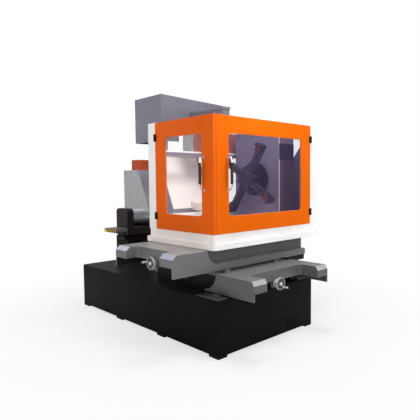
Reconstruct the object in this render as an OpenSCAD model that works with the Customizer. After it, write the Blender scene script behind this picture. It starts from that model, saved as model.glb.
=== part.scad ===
// Wire saw machine for stone: bed, two slide castings, tray with a doored enclosure,
// four-arm work head, column with hood, wire arms, and a drum carriage at the rear.
// Lengths in millimetres. Places are first worked out from the bed's front left corner
// on the floor (x to the right, y to the rear), then moved so that the origin is on the
// floor under the middle of the machine.

/* [Bed] */
// Width of the bed, left to right
bed_w = 1393; // [1300:1:1500]
// Length of the bed, front to rear
bed_l = 2482; // [2440:1:2700]
// Height of the bed box above its feet
bed_h = 500; // [400:1:600]
// Thickness of the bed's walls
bed_wall = 25; // [15:1:40]
// Height of the levelling feet
foot_h = 20; // [12:1:40]
// Length of one foot along the bed
foot_l = 125; // [80:1:160]
// Width of one foot across the bed
foot_w = 110; // [80:1:160]
// Number of feet on each long side
foot_rows = 4; // [3:1:5]

/* [Lower casting] */
// Inset of the lower casting's flanks from the bed's long sides
low_in = 141; // [100:1:180]
// How far its horns reach out in front of the bed
low_reach = 290; // [240:1:320]
// Height of its top above the bed
low_h = 194; // [180:1:220]
// Thickness of its slab
low_slab = 108; // [90:1:120]
// Width of one horn
low_horn_w = 172; // [130:1:220]
// Length of the horns in front of the bridge
low_horn_l = 213; // [180:1:230]
// Depth of the slab from the horn ends back to the scoop
low_front_l = 462; // [440:1:500]
// Radius of the scoop that ends the flank sheets
low_scoop_r = 160; // [120:1:165]
// Length of the rear deck behind the front slab
low_deck_l = 988; // [960:1:1010]
// Side recess of the rear deck and riser behind the flanks
low_recess = 60; // [40:1:80]

/* [Saddle] */
// Distance of the saddle's front flank behind the bed's front, table back
sad_setback = 195; // [190:1:215]
// Depth of the saddle, front to rear
sad_d = 910; // [880:1:920]
// Reach of the saddle's horns to the left of the bed
sad_reach = 339; // [320:1:360]
// Length of the saddle, left to right
sad_l = 1893; // [1860:1:1950]
// Height of the saddle's top above the lower casting
sad_h = 222; // [215:1:240]
// Thickness of the horned slab
sad_slab = 110; // [100:1:120]
// Width of one horn
sad_horn_w = 185; // [150:1:220]
// Length of the horns beside the bridge
sad_horn_l = 134; // [110:1:150]
// Radius of the scoop in each flank
sad_scoop_r = 135; // [120:1:135]
// Depth of the recess above the side ledges
sad_recess = 55; // [40:1:70]
// Height of the flank sheets below the top
sad_skirt = 201; // [190:1:205]

/* [Tray and enclosure] */
// Overhang of the tray in front of the saddle
tray_front = 75; // [60:1:85]
// Overhang of the tray behind the saddle
tray_rear = 82; // [70:1:100]
// Length of the tray, left to right
tray_l = 1655; // [1600:1:1700]
// Height of the tray's lower rim
rim_h = 53; // [40:1:70]
// Height of the plinth that the doors stand over
plinth_h = 87; // [70:1:110]
// Height of the doors
door_h = 1078; // [1000:1:1120]
// Thickness of a door
door_t = 35; // [25:1:45]
// Width of the posts that carry the doors
post_w = 135; // [110:1:150]
// Height of the low rear wall above the plinth
low_wall_h = 132; // [100:1:135]
// Width of the door frame round its window
window_in = 155; // [120:1:180]
// Radius of the window corners
window_r = 45; // [30:1:60]
// Thickness of the window panes
pane_t = 6; // [4:1:8]
// How far a door swings open, in degrees
door_swing = 110; // [80:1:115]

/* [Work head] */
// Length of the head case, left to right
head_w = 263; // [240:1:280]
// Depth of the head case, front to rear
head_d = 658; // [620:1:680]
// Height of the head case above the tray floor
head_h = 1129; // [1080:1:1160]
// Height of the spindle above the tray floor
spindle_h = 594; // [580:1:620]
// Radius of the chuck body
chuck_r = 150; // [130:1:170]
// Reach of one arm from the spindle axis
arm_reach = 440; // [400:1:460]
// Width and thickness of an arm
arm_s = 65; // [55:1:75]
// Lean of the first arm from upright towards the front, in degrees
arm_turn = 33; // [0:1:89]
// Distance of a jaw's middle from the spindle axis
jaw_at = 390; // [330:1:395]

/* [Column and wire arms] */
// Distance of the wire's plane to the right of the bed's middle
wire_off = 79; // [40:1:90]
// Distance of the wire behind the bed's front
wire_y = 703; // [690:1:715]
// Width of the column's neck
neck_w = 634; // [600:1:660]
// Depth of the column's neck at its foot
neck_d = 422; // [400:1:440]
// Height of the column above the bed
neck_h = 1380; // [1350:1:1385]
// Height above the bed where the front starts to lean back
lean_from = 723; // [700:1:740]
// How far the front leans back for each unit of height
lean_share = 0.452;
// Width of the upper arm
arm_w = 96; // [84:1:110]
// Height of the upper arm
arm_h = 140; // [132:1:160]
// Clearance of the upper arm over the doors
arm_clear = 22; // [15:1:30]
// Width of the hood
hood_w = 956; // [900:1:1000]
// Depth of the hood
hood_d = 510; // [480:1:540]
// Height of the hood
hood_h = 325; // [300:1:326]
// Width of the hood's hanging leg
hood_leg_w = 241; // [200:1:260]
// Length of the hood's hanging leg
hood_leg_h = 178; // [120:1:200]

/* [Wire and drum] */
// Diameter of the cutting wire
wire_d = 1.2; // [0.8:0.1:2]
// Groove radius of the upper pulleys
pulley_r = 53; // [45:1:54]
// Groove radius of the lower pulleys
low_pulley_r = 45; // [40:1:46]
// Radius of the drum's winding
drum_r = 110; // [100:1:112]
// Length of the drum between its bearing blocks
drum_l = 290; // [270:1:300]
// Height of the drum axis above the bed
drum_up = 594; // [590:1:610]
// Distance of the drum axis from the bed's rear end
drum_in = 222; // [200:1:240]

/* [Slide travel] */
// Travel of the saddle towards the front
y_travel = 350; // [250:1:350]
// Travel of the table to the left
x_travel_left = 200; // [100:1:200]
// Travel of the table to the right
x_travel_right = 100; // [50:1:100]
// Travel of the drum carriage to the right
drum_travel = 170; // [120:1:170]
// Travel of the drum carriage to the left
drum_back = 30; // [10:1:30]

/* [Hidden] */
$fn = 64;
// Overrun of every cut past the face it opens
cut = 1;
// Running clearance of shafts in their bores
run = 0.05;
// Film between sliding faces
film = 0.2;
// Small gap between curved or swinging pieces
gap = 0.3;

// Heights and places of the fixed castings
bed_top = foot_h + bed_h;
low_x = low_in;
low_w = bed_w - 2 * low_in;
low_y = -low_reach;
low_top = bed_top + low_h;
low_bottom = low_top - low_slab;
low_sheet = 14;
low_sheet_gap = 18;
low_wall = 34;
low_chamfer_run = 25;
low_chamfer_drop = 39;
deck_t = 34;
deck_y0 = low_y + low_front_l;
deck_y1 = deck_y0 + low_deck_l;
deck_x0 = low_x + low_recess;
deck_w = low_w - 2 * low_recess;
corner_r = 40;
way_t = 12;
way_w = 60;
way_in = 100;

// The saddle
sad_x0 = -sad_reach;
sad_x1 = sad_x0 + sad_l;
sad_y0 = sad_setback;
sad_y1 = sad_y0 + sad_d;
sad_top = low_top + sad_h;
sad_bottom = sad_top - sad_slab;
scoop_lip = 2;
sad_ledge = sad_top - sad_scoop_r - scoop_lip;
sad_gap = 19;
sad_deck = sad_top - sad_gap;
sad_scoop_x = 198;
sad_sheet = 14;
sad_wall = 40;
sad_deck_t = 37;
sad_ledge_t = 12;
sad_chamfer_run = 45;
sad_chamfer_drop = 38;
box_x0 = sad_scoop_x - sad_scoop_r;
box_y0 = sad_y0 + sad_recess;
box_y1 = sad_y1 - sad_recess;
shoe_w = 90;
x_way_t = 12;
x_way_in = 80;
x_way_w = 60;

// The two lead screws
screw_r = 20;
y_screw_x = bed_w / 2;
screw_drop = 2;
y_screw_z = low_bottom - screw_r - screw_drop;
x_screw_y = sad_y0 + sad_d / 2;
x_screw_z = sad_bottom - screw_r - screw_drop;
bearing_w = 90;
bearing_t = 40;
nut_l = 80;
nut_w = 74;
nut_down = 40;
slot_gap = 10;
wheel_r = 60;
wheel_t = 18;
collar_r = 38;
grip_r = 9;
grip_l = 58;
crank_r = 46;

// The table, tray and enclosure
tray_gap = 2;
tray_x0 = 80;
tray_x1 = tray_x0 + tray_l;
tray_y0 = sad_y0 - tray_front;
tray_y1 = sad_y1 + tray_rear;
tray_d = tray_y1 - tray_y0;
tray_z0 = sad_top + tray_gap;
tray_sheet = 6;
tray_floor = tray_z0 + rim_h;
plinth_in = 17;
plinth_front = 26;
plinth_rear = 49;
plinth_right = 34;
plinth_t = 45;
plinth_x0 = tray_x0 + plinth_in;
plinth_x1 = tray_x1 - plinth_right;
plinth_y0 = tray_y0 + plinth_front;
plinth_y1 = tray_y1 - plinth_rear;
plinth_z = tray_floor + plinth_h;
door_gap = 3;
door_z0 = plinth_z + door_gap;
door_z1 = door_z0 + door_h;
door_proud = 12;
left_x0 = plinth_x0 - door_proud;
front_y0 = plinth_y0 - door_proud;
post_t = 60;
post_sheet = 4;
post_over = 6;
post_top = door_z1 + post_over;
rail_h = 58;
rail_up = 760;
rail_z0 = plinth_z + rail_up;

// The column, arms, hood and pulleys
wire_x = bed_w / 2 + wire_off;
col_gap = 11;
col_y0 = tray_y1 + col_gap;
col_y1 = col_y0 + neck_d;
col_x0 = wire_x - neck_w / 2;
col_top = bed_top + neck_h;
lean_z = bed_top + lean_from;
col_top_y = col_y0 + lean_share * (col_top - lean_z);
arm_z0 = post_top + arm_clear;
arm_z1 = arm_z0 + arm_h;
arm_front = 46;
arm_y0 = wire_y - arm_front;
arm_tail = 20;
arm_y1 = col_y1 + arm_tail;
lid_h = 26;
lid_over = 6;
hood_back = 52;
hood_y0 = plinth_y1 + hood_back;
hood_shift = 14;
hood_x0 = wire_x - hood_w / 2 + hood_shift;
hood_sheet = 4;
hood_over = 185;
hood_z1 = arm_z1 + hood_over;
hood_z0 = hood_z1 - hood_h;
hood_drop = 33;
wire_r = wire_d / 2;
wire_seat = wire_r + gap;
tip_z = arm_z0 + arm_h / 2;
tip_y = wire_y + pulley_r + wire_seat;
rear_pulley_in = 40;
rear_y = col_y1 - rear_pulley_in;
low_tip_up = 74;
low_tip_z = plinth_z + low_wall_h + low_tip_up;
low_tip_y = wire_y + low_pulley_r + wire_seat;
low_run_z = low_tip_z - low_pulley_r - wire_seat;
low_rear_z = low_run_z - low_pulley_r - wire_seat;
low_rear_out = 62;
low_rear_y = col_y1 + low_rear_out;
drum_y = bed_l - drum_in;
drum_z = bed_top + drum_up;
pulley_rim = 4;
pulley_w = 14;
axle_r = 10;

// The row origin lies on the floor under the middle of the machine's outline
gland_l = 28;
shift_x = (sad_x0 + tray_x1) / 2;
shift_y = (low_y + bed_l + gland_l) / 2;

// Helpers: placing, straight outlines and rods
module placed() {
    translate([-shift_x, -shift_y, 0]) children();
}

// A block from its two opposite corners
module block(low, high) {
    translate(low) cube(high - low);
}

// An outline drawn in y and z, extruded to the right from x
module along_x(x, length) {
    translate([x, 0, 0]) rotate([90, 0, 90]) linear_extrude(length) children();
}

// An outline drawn in x and z, extruded to the rear from y
module along_y(y, length) {
    translate([0, y + length, 0]) rotate([90, 0, 0]) linear_extrude(length) children();
}

module rod_x(x, y, z, r, length) {
    translate([x, y, z]) rotate([0, 90, 0]) cylinder(r = r, h = length);
}

module rod_y(x, y, z, r, length) {
    translate([x, y, z]) rotate([-90, 0, 0]) cylinder(r = r, h = length);
}

module rod_z(x, y, z, r, length) {
    translate([x, y, z]) cylinder(r = r, h = length);
}

// A rectangle with rounded corners, from its low corner
module round_rect(w, d, r) {
    translate([r, 0]) square([w - 2 * r, d]);
    translate([0, r]) square([w, d - 2 * r]);
    for (x = [r, w - r], y = [r, d - r]) translate([x, y]) circle(r = r);
}

// Bed, feet and fittings
slit_x_share = 0.7;
slit_w = 18;
slit_h = 84;
slit_deep = 10;
slit_up = 76;
bed_lip = 6;

module bed() {
    color("#262629") placed() difference() {
        union() {
            block([0, 0, foot_h], [bed_w, bed_l, bed_top - bed_lip]);
            block([bed_lip, bed_lip, bed_top - bed_lip], [bed_w - bed_lip, bed_l - bed_lip, bed_top]);
        }
        block([bed_wall, bed_wall, foot_h + bed_wall],
            [bed_w - bed_wall, bed_l - bed_wall, bed_top - bed_wall - bed_lip]);
        block([bed_w * slit_x_share, -cut, foot_h + slit_up],
            [bed_w * slit_x_share + slit_w, slit_deep, foot_h + slit_up + slit_h]);
    }
}

module bed_feet() {
    pitch = (bed_l - foot_l) / (foot_rows - 1);
    color("#1d1d1f") placed() for (row = [0 : foot_rows - 1], x = [0, bed_w - foot_w])
        block([x, row * pitch, 0], [x + foot_w, row * pitch + foot_l, foot_h]);
}

plate_l = 285;
plate_t = 8;
plate_in = 8;
plate_w = 122;
clamp_l = 96;
clamp_w = 26;
clamp_h = 20;
clamp_at = 72;
bolt_r = 10;
bolt_h = 8;

module corner_plate() {
    color("#6d6e72") placed() {
        block([plate_in, plate_in, bed_top], [plate_in + plate_w, plate_in + plate_l, bed_top + plate_t]);
        translate([clamp_at, clamp_at, bed_top + plate_t]) {
            translate([-clamp_w / 2, -clamp_w, 0]) cube([clamp_w, clamp_l, clamp_h]);
            translate([0, clamp_w, clamp_h]) cylinder(r = bolt_r, h = bolt_h, $fn = 6);
            translate([0, 2 * clamp_w, clamp_h]) cylinder(r = bolt_r / 2, h = bolt_h);
        }
    }
}

gland_r = 18;
gland_hole_r = 10;
gland_flange_r = 26;
gland_flange_t = 6;
gland_up = 120;
gland_x_share = 0.82;

module power_gland() {
    color("#2a2a2c") placed() translate([bed_w * gland_x_share, bed_l, foot_h + gland_up])
        rotate([-90, 0, 0]) difference() {
            union() {
                cylinder(r = gland_flange_r, h = gland_flange_t, $fn = 6);
                cylinder(r = gland_r, h = gland_l);
            }
            translate([0, 0, -cut]) cylinder(r = gland_hole_r, h = gland_l + 2 * cut);
        }
}

// Riser under the lower casting, open inside for the screw
riser_wall = 110;
riser_front = 40;

module riser_frame() {
    y0 = riser_front;
    color("#1b1b1d") placed() difference() {
        union() {
            block([deck_x0, y0, bed_top], [deck_x0 + deck_w, deck_y1, low_bottom]);
            block([deck_x0, deck_y0 + film, bed_top], [deck_x0 + deck_w, deck_y1, low_top - deck_t]);
        }
        block([deck_x0 + riser_wall, y0 - cut, bed_top - cut],
            [deck_x0 + deck_w - riser_wall, deck_y1 - riser_wall, low_top]);
    }
}

// Outline of the lower slab in y and z, with the chamfer on the horn ends
module low_profile() {
    polygon([
        [low_y, low_bottom],
        [low_y + low_front_l, low_bottom],
        [low_y + low_front_l, low_top],
        [low_y + low_chamfer_run, low_top],
        [low_y, low_top - low_chamfer_drop]
    ]);
}

// Outline of one flank sheet, which ends at the rear in a scoop under the deck
module flank_profile(rear, bottom) {
    difference() {
        polygon([
            [low_y, bottom], [rear, bottom], [rear, low_top],
            [low_y + low_chamfer_run, low_top], [low_y, low_top - low_chamfer_drop]
        ]);
        translate([rear, low_top]) circle(r = low_scoop_r);
    }
}

module lower_casting() {
    horn_x0 = low_x + low_horn_w;
    horn_x1 = low_x + low_w - low_horn_w;
    bridge_y = low_y + low_horn_l;
    sheet_end = deck_y0 + low_scoop_r;
    nut_y = sad_y0 + sad_d * nut_y_share;
    sheet_z = bed_top + low_sheet_gap;
    color("#77777c") placed() difference() {
        union() {
            along_x(low_x, low_w) low_profile();
            block([deck_x0, deck_y0 - low_wall, low_top - deck_t], [deck_x0 + deck_w, deck_y1, low_top]);
            for (x = [low_x, low_x + low_w - low_sheet]) along_x(x, low_sheet) flank_profile(sheet_end, sheet_z);
        }
        translate([horn_x0, low_y - cut - corner_r, low_bottom - low_h])
            linear_extrude(2 * low_h + low_slab)
                round_rect(horn_x1 - horn_x0, low_horn_l + cut + corner_r, corner_r);
        block([low_x + low_wall, bridge_y + low_wall, low_bottom - cut],
            [low_x + low_w - low_wall, deck_y0 - low_wall, low_top - deck_t]);
        block([y_screw_x - nut_w / 2 - slot_gap, nut_y - nut_l / 2 - y_travel - slot_gap, low_top - deck_t - cut],
            [y_screw_x + nut_w / 2 + slot_gap, nut_y + nut_l / 2 + slot_gap, low_top + cut]);
    }
}

nut_y_share = 0.775;

function y_way_x(side) = side == 0 ? deck_x0 + way_in : deck_x0 + deck_w - way_in - way_w;

module y_ways() {
    color("#a9abae") placed() for (side = [0, 1])
        block([y_way_x(side), sad_y0 + way_t, low_top], [y_way_x(side) + way_w, deck_y1 - way_t, low_top + way_t]);
}

bearing_drop = 40;
rear_bearing_in = 60;

module y_bearings() {
    front_y = low_y + low_horn_l;
    rear_y0 = deck_y1 - riser_wall - rear_bearing_in;
    color("#8d8f92") placed() {
        difference() {
            block([y_screw_x - bearing_w / 2, front_y, y_screw_z - bearing_drop],
                [y_screw_x + bearing_w / 2, front_y + low_wall, low_bottom]);
            rod_y(y_screw_x, front_y - cut, y_screw_z, screw_r + run, low_wall + 2 * cut);
        }
        difference() {
            block([y_screw_x - bearing_w / 2, rear_y0, bed_top],
                [y_screw_x + bearing_w / 2, rear_y0 + bearing_t, y_screw_z + bearing_drop]);
            rod_y(y_screw_x, rear_y0 - cut, y_screw_z, screw_r + run, bearing_t + 2 * cut);
        }
    }
}

cap_r = 12;
cap_h = 9;

module casting_bolts() {
    front_row = sad_y0 - 2 * cap_r - cap_h;
    rear_row = deck_y1 - 3 * cap_r;
    color("#3a3b3e") placed() {
        for (x = [low_x + low_horn_w / 2, low_x + low_w - low_horn_w / 2])
            rod_z(x, front_row, low_top, cap_r, cap_h);
        for (x = [deck_x0 + 2 * cap_r, deck_x0 + deck_w - 2 * cap_r])
            rod_z(x, rear_row, low_top, cap_r, cap_h);
        for (y = [low_y + low_front_l + low_recess, (deck_y0 + deck_y1) / 2])
            rod_x(deck_x0 - cap_h, y, low_bottom - cap_r, cap_r, cap_h);
        for (x = [col_x0 - foot_flange / 2, col_x0 + neck_w + foot_flange / 2], y = [col_y0 + foot_flange, col_y1 - foot_flange])
            rod_z(x, y, bed_top + flange_t, cap_r, cap_h);
    }
}

// Column: a neck with a leaning front, a foot flange and two posts under the upper arm
foot_flange = 56;
flange_t = 30;
col_wall = 36;
post_front = 252;
stay_w = 40;
head_post_w = 86;
head_post_in = 47;
head_plate_t = 30;
top_flange_t = 30;
lug_t = 12;
lug_gap = 1;

// Height of the hood's roof underside
function roof_z(x) = hood_z1 - hood_sheet - gap - hood_drop * (x - hood_x0) / hood_w;

module column() {
    post_y0 = col_y0 + post_front;
    plate_z0 = arm_z0 - head_plate_t;
    lug_z0 = low_rear_z - low_pulley_r;
    color("#6f6f7a") placed() difference() {
        union() {
            along_x(col_x0, neck_w) polygon([
                [col_y0, bed_top], [col_y1, bed_top], [col_y1, col_top],
                [col_top_y, col_top], [col_y0, lean_z]
            ]);
            block([col_x0 - foot_flange, col_y0, bed_top],
                [col_x0 + neck_w + foot_flange, col_y1, bed_top + flange_t]);
            block([col_x0, post_y0, col_top - top_flange_t], [col_x0 + neck_w, col_y1, col_top]);
            for (x = [col_x0 + head_post_in, col_x0 + neck_w - head_post_in - head_post_w])
                block([x, post_y0, col_top - top_flange_t], [x + head_post_w, col_y1, plate_z0]);
            block([col_x0 + head_post_in, post_y0, plate_z0],
                [col_x0 + neck_w - head_post_in, col_y1, arm_z0]);
            for (x = [col_x0 + head_post_in, col_x0 + neck_w - head_post_in - stay_w])
                along_y(post_y0, col_y1 - post_y0) polygon([
                    [x, plate_z0], [x + stay_w, plate_z0], [x + stay_w, roof_z(x + stay_w)], [x, roof_z(x)]
                ]);
            for (x = [wire_x - pulley_w / 2 - lug_gap - lug_t, wire_x + pulley_w / 2 + lug_gap])
                block([x, col_y1 - cut, lug_z0], [x + lug_t, low_rear_y + low_pulley_r / 2, low_rear_z + 2 * lug_t]);
        }
        along_x(col_x0 + col_wall, neck_w - 2 * col_wall) polygon([
            [col_y0 + col_wall, bed_top + flange_t], [col_y1 - col_wall, bed_top + flange_t],
            [col_y1 - col_wall, col_top - 2 * col_wall],
            [col_y0 + col_wall + lean_share * (col_top - 2 * col_wall - lean_z) + col_wall / 2, col_top - 2 * col_wall],
            [col_y0 + col_wall + col_wall / 2, lean_z]
        ]);
        block([wire_x - low_arm_w / 2, col_y0 - cut, low_arm_z0],
            [wire_x + low_arm_w / 2, col_y1 + cut, low_arm_z0 + low_arm_h]);
        rod_x(wire_x - pulley_w - lug_t, low_rear_y, low_rear_z, axle_r, 2 * (pulley_w + lug_t));
        block([wire_x - pulley_w / 2 - lug_gap, rear_y - pulley_r, plate_z0 - cut],
            [wire_x + pulley_w / 2 + lug_gap, col_y1 + cut, arm_z0 + cut]);
    }
}

panel_t = 6;
panel_left = 12;
panel_right = 50;
arm_notch = 4;
panel_down = 10;

module column_panel() {
    z0 = lean_z + panel_down;
    z1 = col_top - top_flange_t - panel_down;
    y_at = function(z) col_y0 + lean_share * (z - lean_z);
    color("#e8e2de") placed() difference() {
        along_x(col_x0 + panel_left, neck_w - panel_left - panel_right)
            polygon([
                [y_at(z0) - panel_t, z0], [y_at(z0), z0], [y_at(z1), z1], [y_at(z1) - panel_t, z1]
            ]);
        block([wire_x - low_arm_w / 2 - arm_notch, col_y0 - panel_t - cut, z0 - cut],
            [wire_x + low_arm_w / 2 + arm_notch, col_y1, low_arm_z0 + low_arm_h + arm_notch]);
    }
}

// Housings beside the neck, with the same lean as the column's front
housing_w = 273;
housing_back = 75;
housing_rear = 150;
housing_z0 = 738;
housing_h = 438;
housing_wall = 4;

module housing_outline(inset) {
    z0 = bed_top + housing_z0 + inset;
    z1 = bed_top + housing_z0 + housing_h - inset;
    front = col_y0 + housing_back + inset;
    y_at = function(z) front + lean_share * (z - lean_z);
    rear = col_y1 + housing_rear - inset;
    polygon([[y_at(z0), z0], [rear, z0], [rear, z1], [y_at(z1), z1]]);
}

module side_housings() {
    color("#a7a8a8") placed() for (x = [col_x0 - housing_w, col_x0 + neck_w]) difference() {
        along_x(x, housing_w) housing_outline(0);
        along_x(x + housing_wall, housing_w - 2 * housing_wall) housing_outline(housing_wall);
    }
}

side_box_w = 205;
side_box_d = 114;
side_box_h = 115;
side_box_in = 10;
side_box_back = 302;

module side_box() {
    z0 = bed_top + housing_z0 + housing_h;
    x0 = col_x0 - housing_w + side_box_in;
    y0 = col_y0 + side_box_back;
    color("#a8462a") placed() difference() {
        block([x0, y0, z0], [x0 + side_box_w, y0 + side_box_d, z0 + side_box_h]);
        block([x0 + housing_wall, y0 + housing_wall, z0 + housing_wall],
            [x0 + side_box_w - housing_wall, y0 + side_box_d - housing_wall, z0 + side_box_h - housing_wall]);
    }
}

// Hood: a sheet shell open below, with a leg that hangs down on its left
module hood_outline(inset, low) {
    polygon([
        [hood_x0 + inset, hood_z0 - hood_leg_h - low],
        [hood_x0 + hood_leg_w + low, hood_z0 - hood_leg_h - low],
        [hood_x0 + hood_leg_w + low, hood_z0 - low],
        [hood_x0 + hood_w - inset, hood_z0 - low],
        [hood_x0 + hood_w - inset, hood_z1 - hood_drop - inset],
        [hood_x0 + inset, hood_z1 - inset]
    ]);
}

module hood() {
    color("#82808e") placed() difference() {
        along_y(hood_y0, hood_d) hood_outline(0, 0);
        along_y(hood_y0 + hood_sheet, hood_d - 2 * hood_sheet) hood_outline(hood_sheet, cut);
        block([wire_x - arm_w / 2 - lid_over - gap, hood_y0 - cut, hood_z0 - cut],
            [wire_x + arm_w / 2 + lid_over + gap, hood_y0 + hood_sheet + cut, arm_z1 + lid_h + gap]);
        block([wire_x - arm_slot, hood_y0 + hood_d - hood_sheet - cut, hood_z0 - cut],
            [wire_x + arm_slot, hood_y0 + hood_d + cut, hood_z0 + 2 * arm_slot]);
    }
}

arm_wall = 8;
arm_slot = 20;

module upper_arm() {
    x0 = wire_x - arm_w / 2;
    color("#8b8996") placed() difference() {
        union() {
            block([x0, arm_y0, arm_z0], [x0 + arm_w, arm_y1, arm_z1]);
            block([x0 - lid_over, arm_y0 - lid_over, arm_z1], [x0 + arm_w + lid_over, arm_y1, arm_z1 + lid_h]);
        }
        block([x0 + arm_wall, arm_y0 + arm_wall, arm_z0 + arm_wall], [x0 + arm_w - arm_wall, arm_y1 + cut, arm_z1]);
        block([wire_x - arm_slot / 2, wire_y - arm_slot, arm_z0 - cut],
            [wire_x + arm_slot / 2, wire_y + arm_slot, arm_z0 + arm_wall + cut]);
        block([wire_x - pulley_w / 2 - lug_gap, rear_y - pulley_r, arm_z0 - cut],
            [wire_x + pulley_w / 2 + lug_gap, arm_y1 + cut, arm_z0 + arm_wall + cut]);
        for (y = [tip_y, rear_y]) rod_x(x0 - cut, y, tip_z, axle_r, arm_w + 2 * cut);
    }
}

// Lower arm: a tube through the neck, forked at its tip
low_arm_w = 60;
low_arm_h = 84;
low_arm_down = 56;
low_arm_z0 = low_tip_z - low_arm_down;
low_arm_wall = 6;
low_arm_tail = 20;

module lower_arm() {
    x0 = wire_x - low_arm_w / 2;
    y0 = wire_y - wire_r - gap;
    fork = 2 * low_pulley_r + 3 * low_arm_wall;
    color("#5d5d66") placed() difference() {
        block([x0, y0, low_arm_z0], [x0 + low_arm_w, col_y1 + low_arm_tail, low_arm_z0 + low_arm_h]);
        block([x0 + low_arm_wall, y0 - cut, low_arm_z0 + low_arm_wall],
            [x0 + low_arm_w - low_arm_wall, col_y1 + low_arm_tail + cut, low_arm_z0 + low_arm_h - low_arm_wall]);
        block([x0 + low_arm_wall, y0 - cut, low_arm_z0 - cut],
            [x0 + low_arm_w - low_arm_wall, y0 + fork, low_arm_z0 + low_arm_h + cut]);
        rod_x(x0 - cut, low_tip_y, low_tip_z, axle_r, low_arm_w + 2 * cut);
    }
}

// One grooved pulley on its side, its axis along x
pulley_groove = 2;

module pulley(r, y, z) {
    rim = r + pulley_rim;
    half = pulley_w / 2;
    translate([wire_x, y, z]) rotate([0, 90, 0]) rotate_extrude() polygon([
        [axle_r + run, -half], [rim, -half], [r, -pulley_groove], [r, pulley_groove],
        [rim, half], [axle_r + run, half]
    ]);
}

module upper_rear_pulley() {
    color("#c8ccd0") placed() pulley(pulley_r, rear_y, tip_z);
}

module upper_tip_pulley() {
    color("#c8ccd0") placed() pulley(pulley_r, tip_y, tip_z);
}

module lower_tip_pulley() {
    color("#c8ccd0") placed() pulley(low_pulley_r, low_tip_y, low_tip_z);
}

module lower_rear_pulley() {
    color("#c8ccd0") placed() pulley(low_pulley_r, low_rear_y, low_rear_z);
}

module pulley_axles() {
    color("#9a9da1") placed() {
        for (y = [tip_y, rear_y]) rod_x(wire_x - arm_w / 2, y, tip_z, axle_r, arm_w);
        rod_x(wire_x - low_arm_w / 2, low_tip_y, low_tip_z, axle_r, low_arm_w);
        rod_x(wire_x - pulley_w / 2 - lug_gap - lug_t, low_rear_y, low_rear_z, axle_r,
            pulley_w + 2 * (lug_gap + lug_t));
    }
}

// Cutting wire: straight runs between wheels and short arcs over them, in the plane x = wire_x
wheels = [
    [drum_y, drum_z, drum_r + wire_seat, -1],
    [rear_y, tip_z, pulley_r + wire_seat, -1],
    [tip_y, tip_z, pulley_r + wire_seat, -1],
    [low_tip_y, low_tip_z, low_pulley_r + wire_seat, -1],
    [low_rear_y, low_rear_z, low_pulley_r + wire_seat, 1],
    [drum_y, drum_z, drum_r + wire_seat, -1]
];
arc_steps = 12;
wire_sides = 8;

// Angle of the contact normal of the run from wheel a to wheel b
function run_angle(a, b) =
    let (dy = b[0] - a[0], dz = b[1] - a[1], span = sqrt(dy * dy + dz * dz))
    atan2(dz, dy) + acos((a[2] * a[3] - b[2] * b[3]) / span);

// Shortest turn from one angle to another
function turn(a, b) = let (d = b - a) d - 360 * round(d / 360);

function on_wheel(w, angle) = [w[0] + w[3] * w[2] * cos(angle), w[1] + w[3] * w[2] * sin(angle)];

wire_path = concat(
    [on_wheel(wheels[0], run_angle(wheels[0], wheels[1]))],
    [for (i = [1 : len(wheels) - 2])
        let (a = run_angle(wheels[i - 1], wheels[i]), b = run_angle(wheels[i], wheels[i + 1]), t = turn(a, b))
        for (k = [0 : arc_steps]) on_wheel(wheels[i], a + t * k / arc_steps)],
    [on_wheel(wheels[5], run_angle(wheels[4], wheels[5]))]
);

function unit(v) = v / norm(v);
function heading(path, i) =
    unit((i == 0 ? path[1] - path[0] : unit(path[i] - path[i - 1]))
        + (i == len(path) - 1 ? path[i] - path[i - 1] : unit(path[min(i + 1, len(path) - 1)] - path[i])));

module cutting_wire() {
    n = len(wire_path);
    rings = [for (i = [0 : n - 1]) let (h = heading(wire_path, i), side = [-h[1], h[0]])
        for (k = [0 : wire_sides - 1]) let (a = 360 * k / wire_sides)
            [wire_x + wire_r * cos(a), wire_path[i][0] + wire_r * sin(a) * side[0],
                wire_path[i][1] + wire_r * sin(a) * side[1]]];
    walls = [for (i = [0 : n - 2], k = [0 : wire_sides - 1]) let (m = (k + 1) % wire_sides)
        each [[i * wire_sides + k, i * wire_sides + m, (i + 1) * wire_sides + m],
            [i * wire_sides + k, (i + 1) * wire_sides + m, (i + 1) * wire_sides + k]]];
    start = [for (k = [1 : wire_sides - 2]) [0, k + 1, k]];
    finish = [for (k = [1 : wire_sides - 2]) let (b = (n - 1) * wire_sides) [b, b + k, b + k + 1]];
    color("#b9bcc0") placed() polyhedron(rings, concat(walls, start, finish));
}

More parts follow.
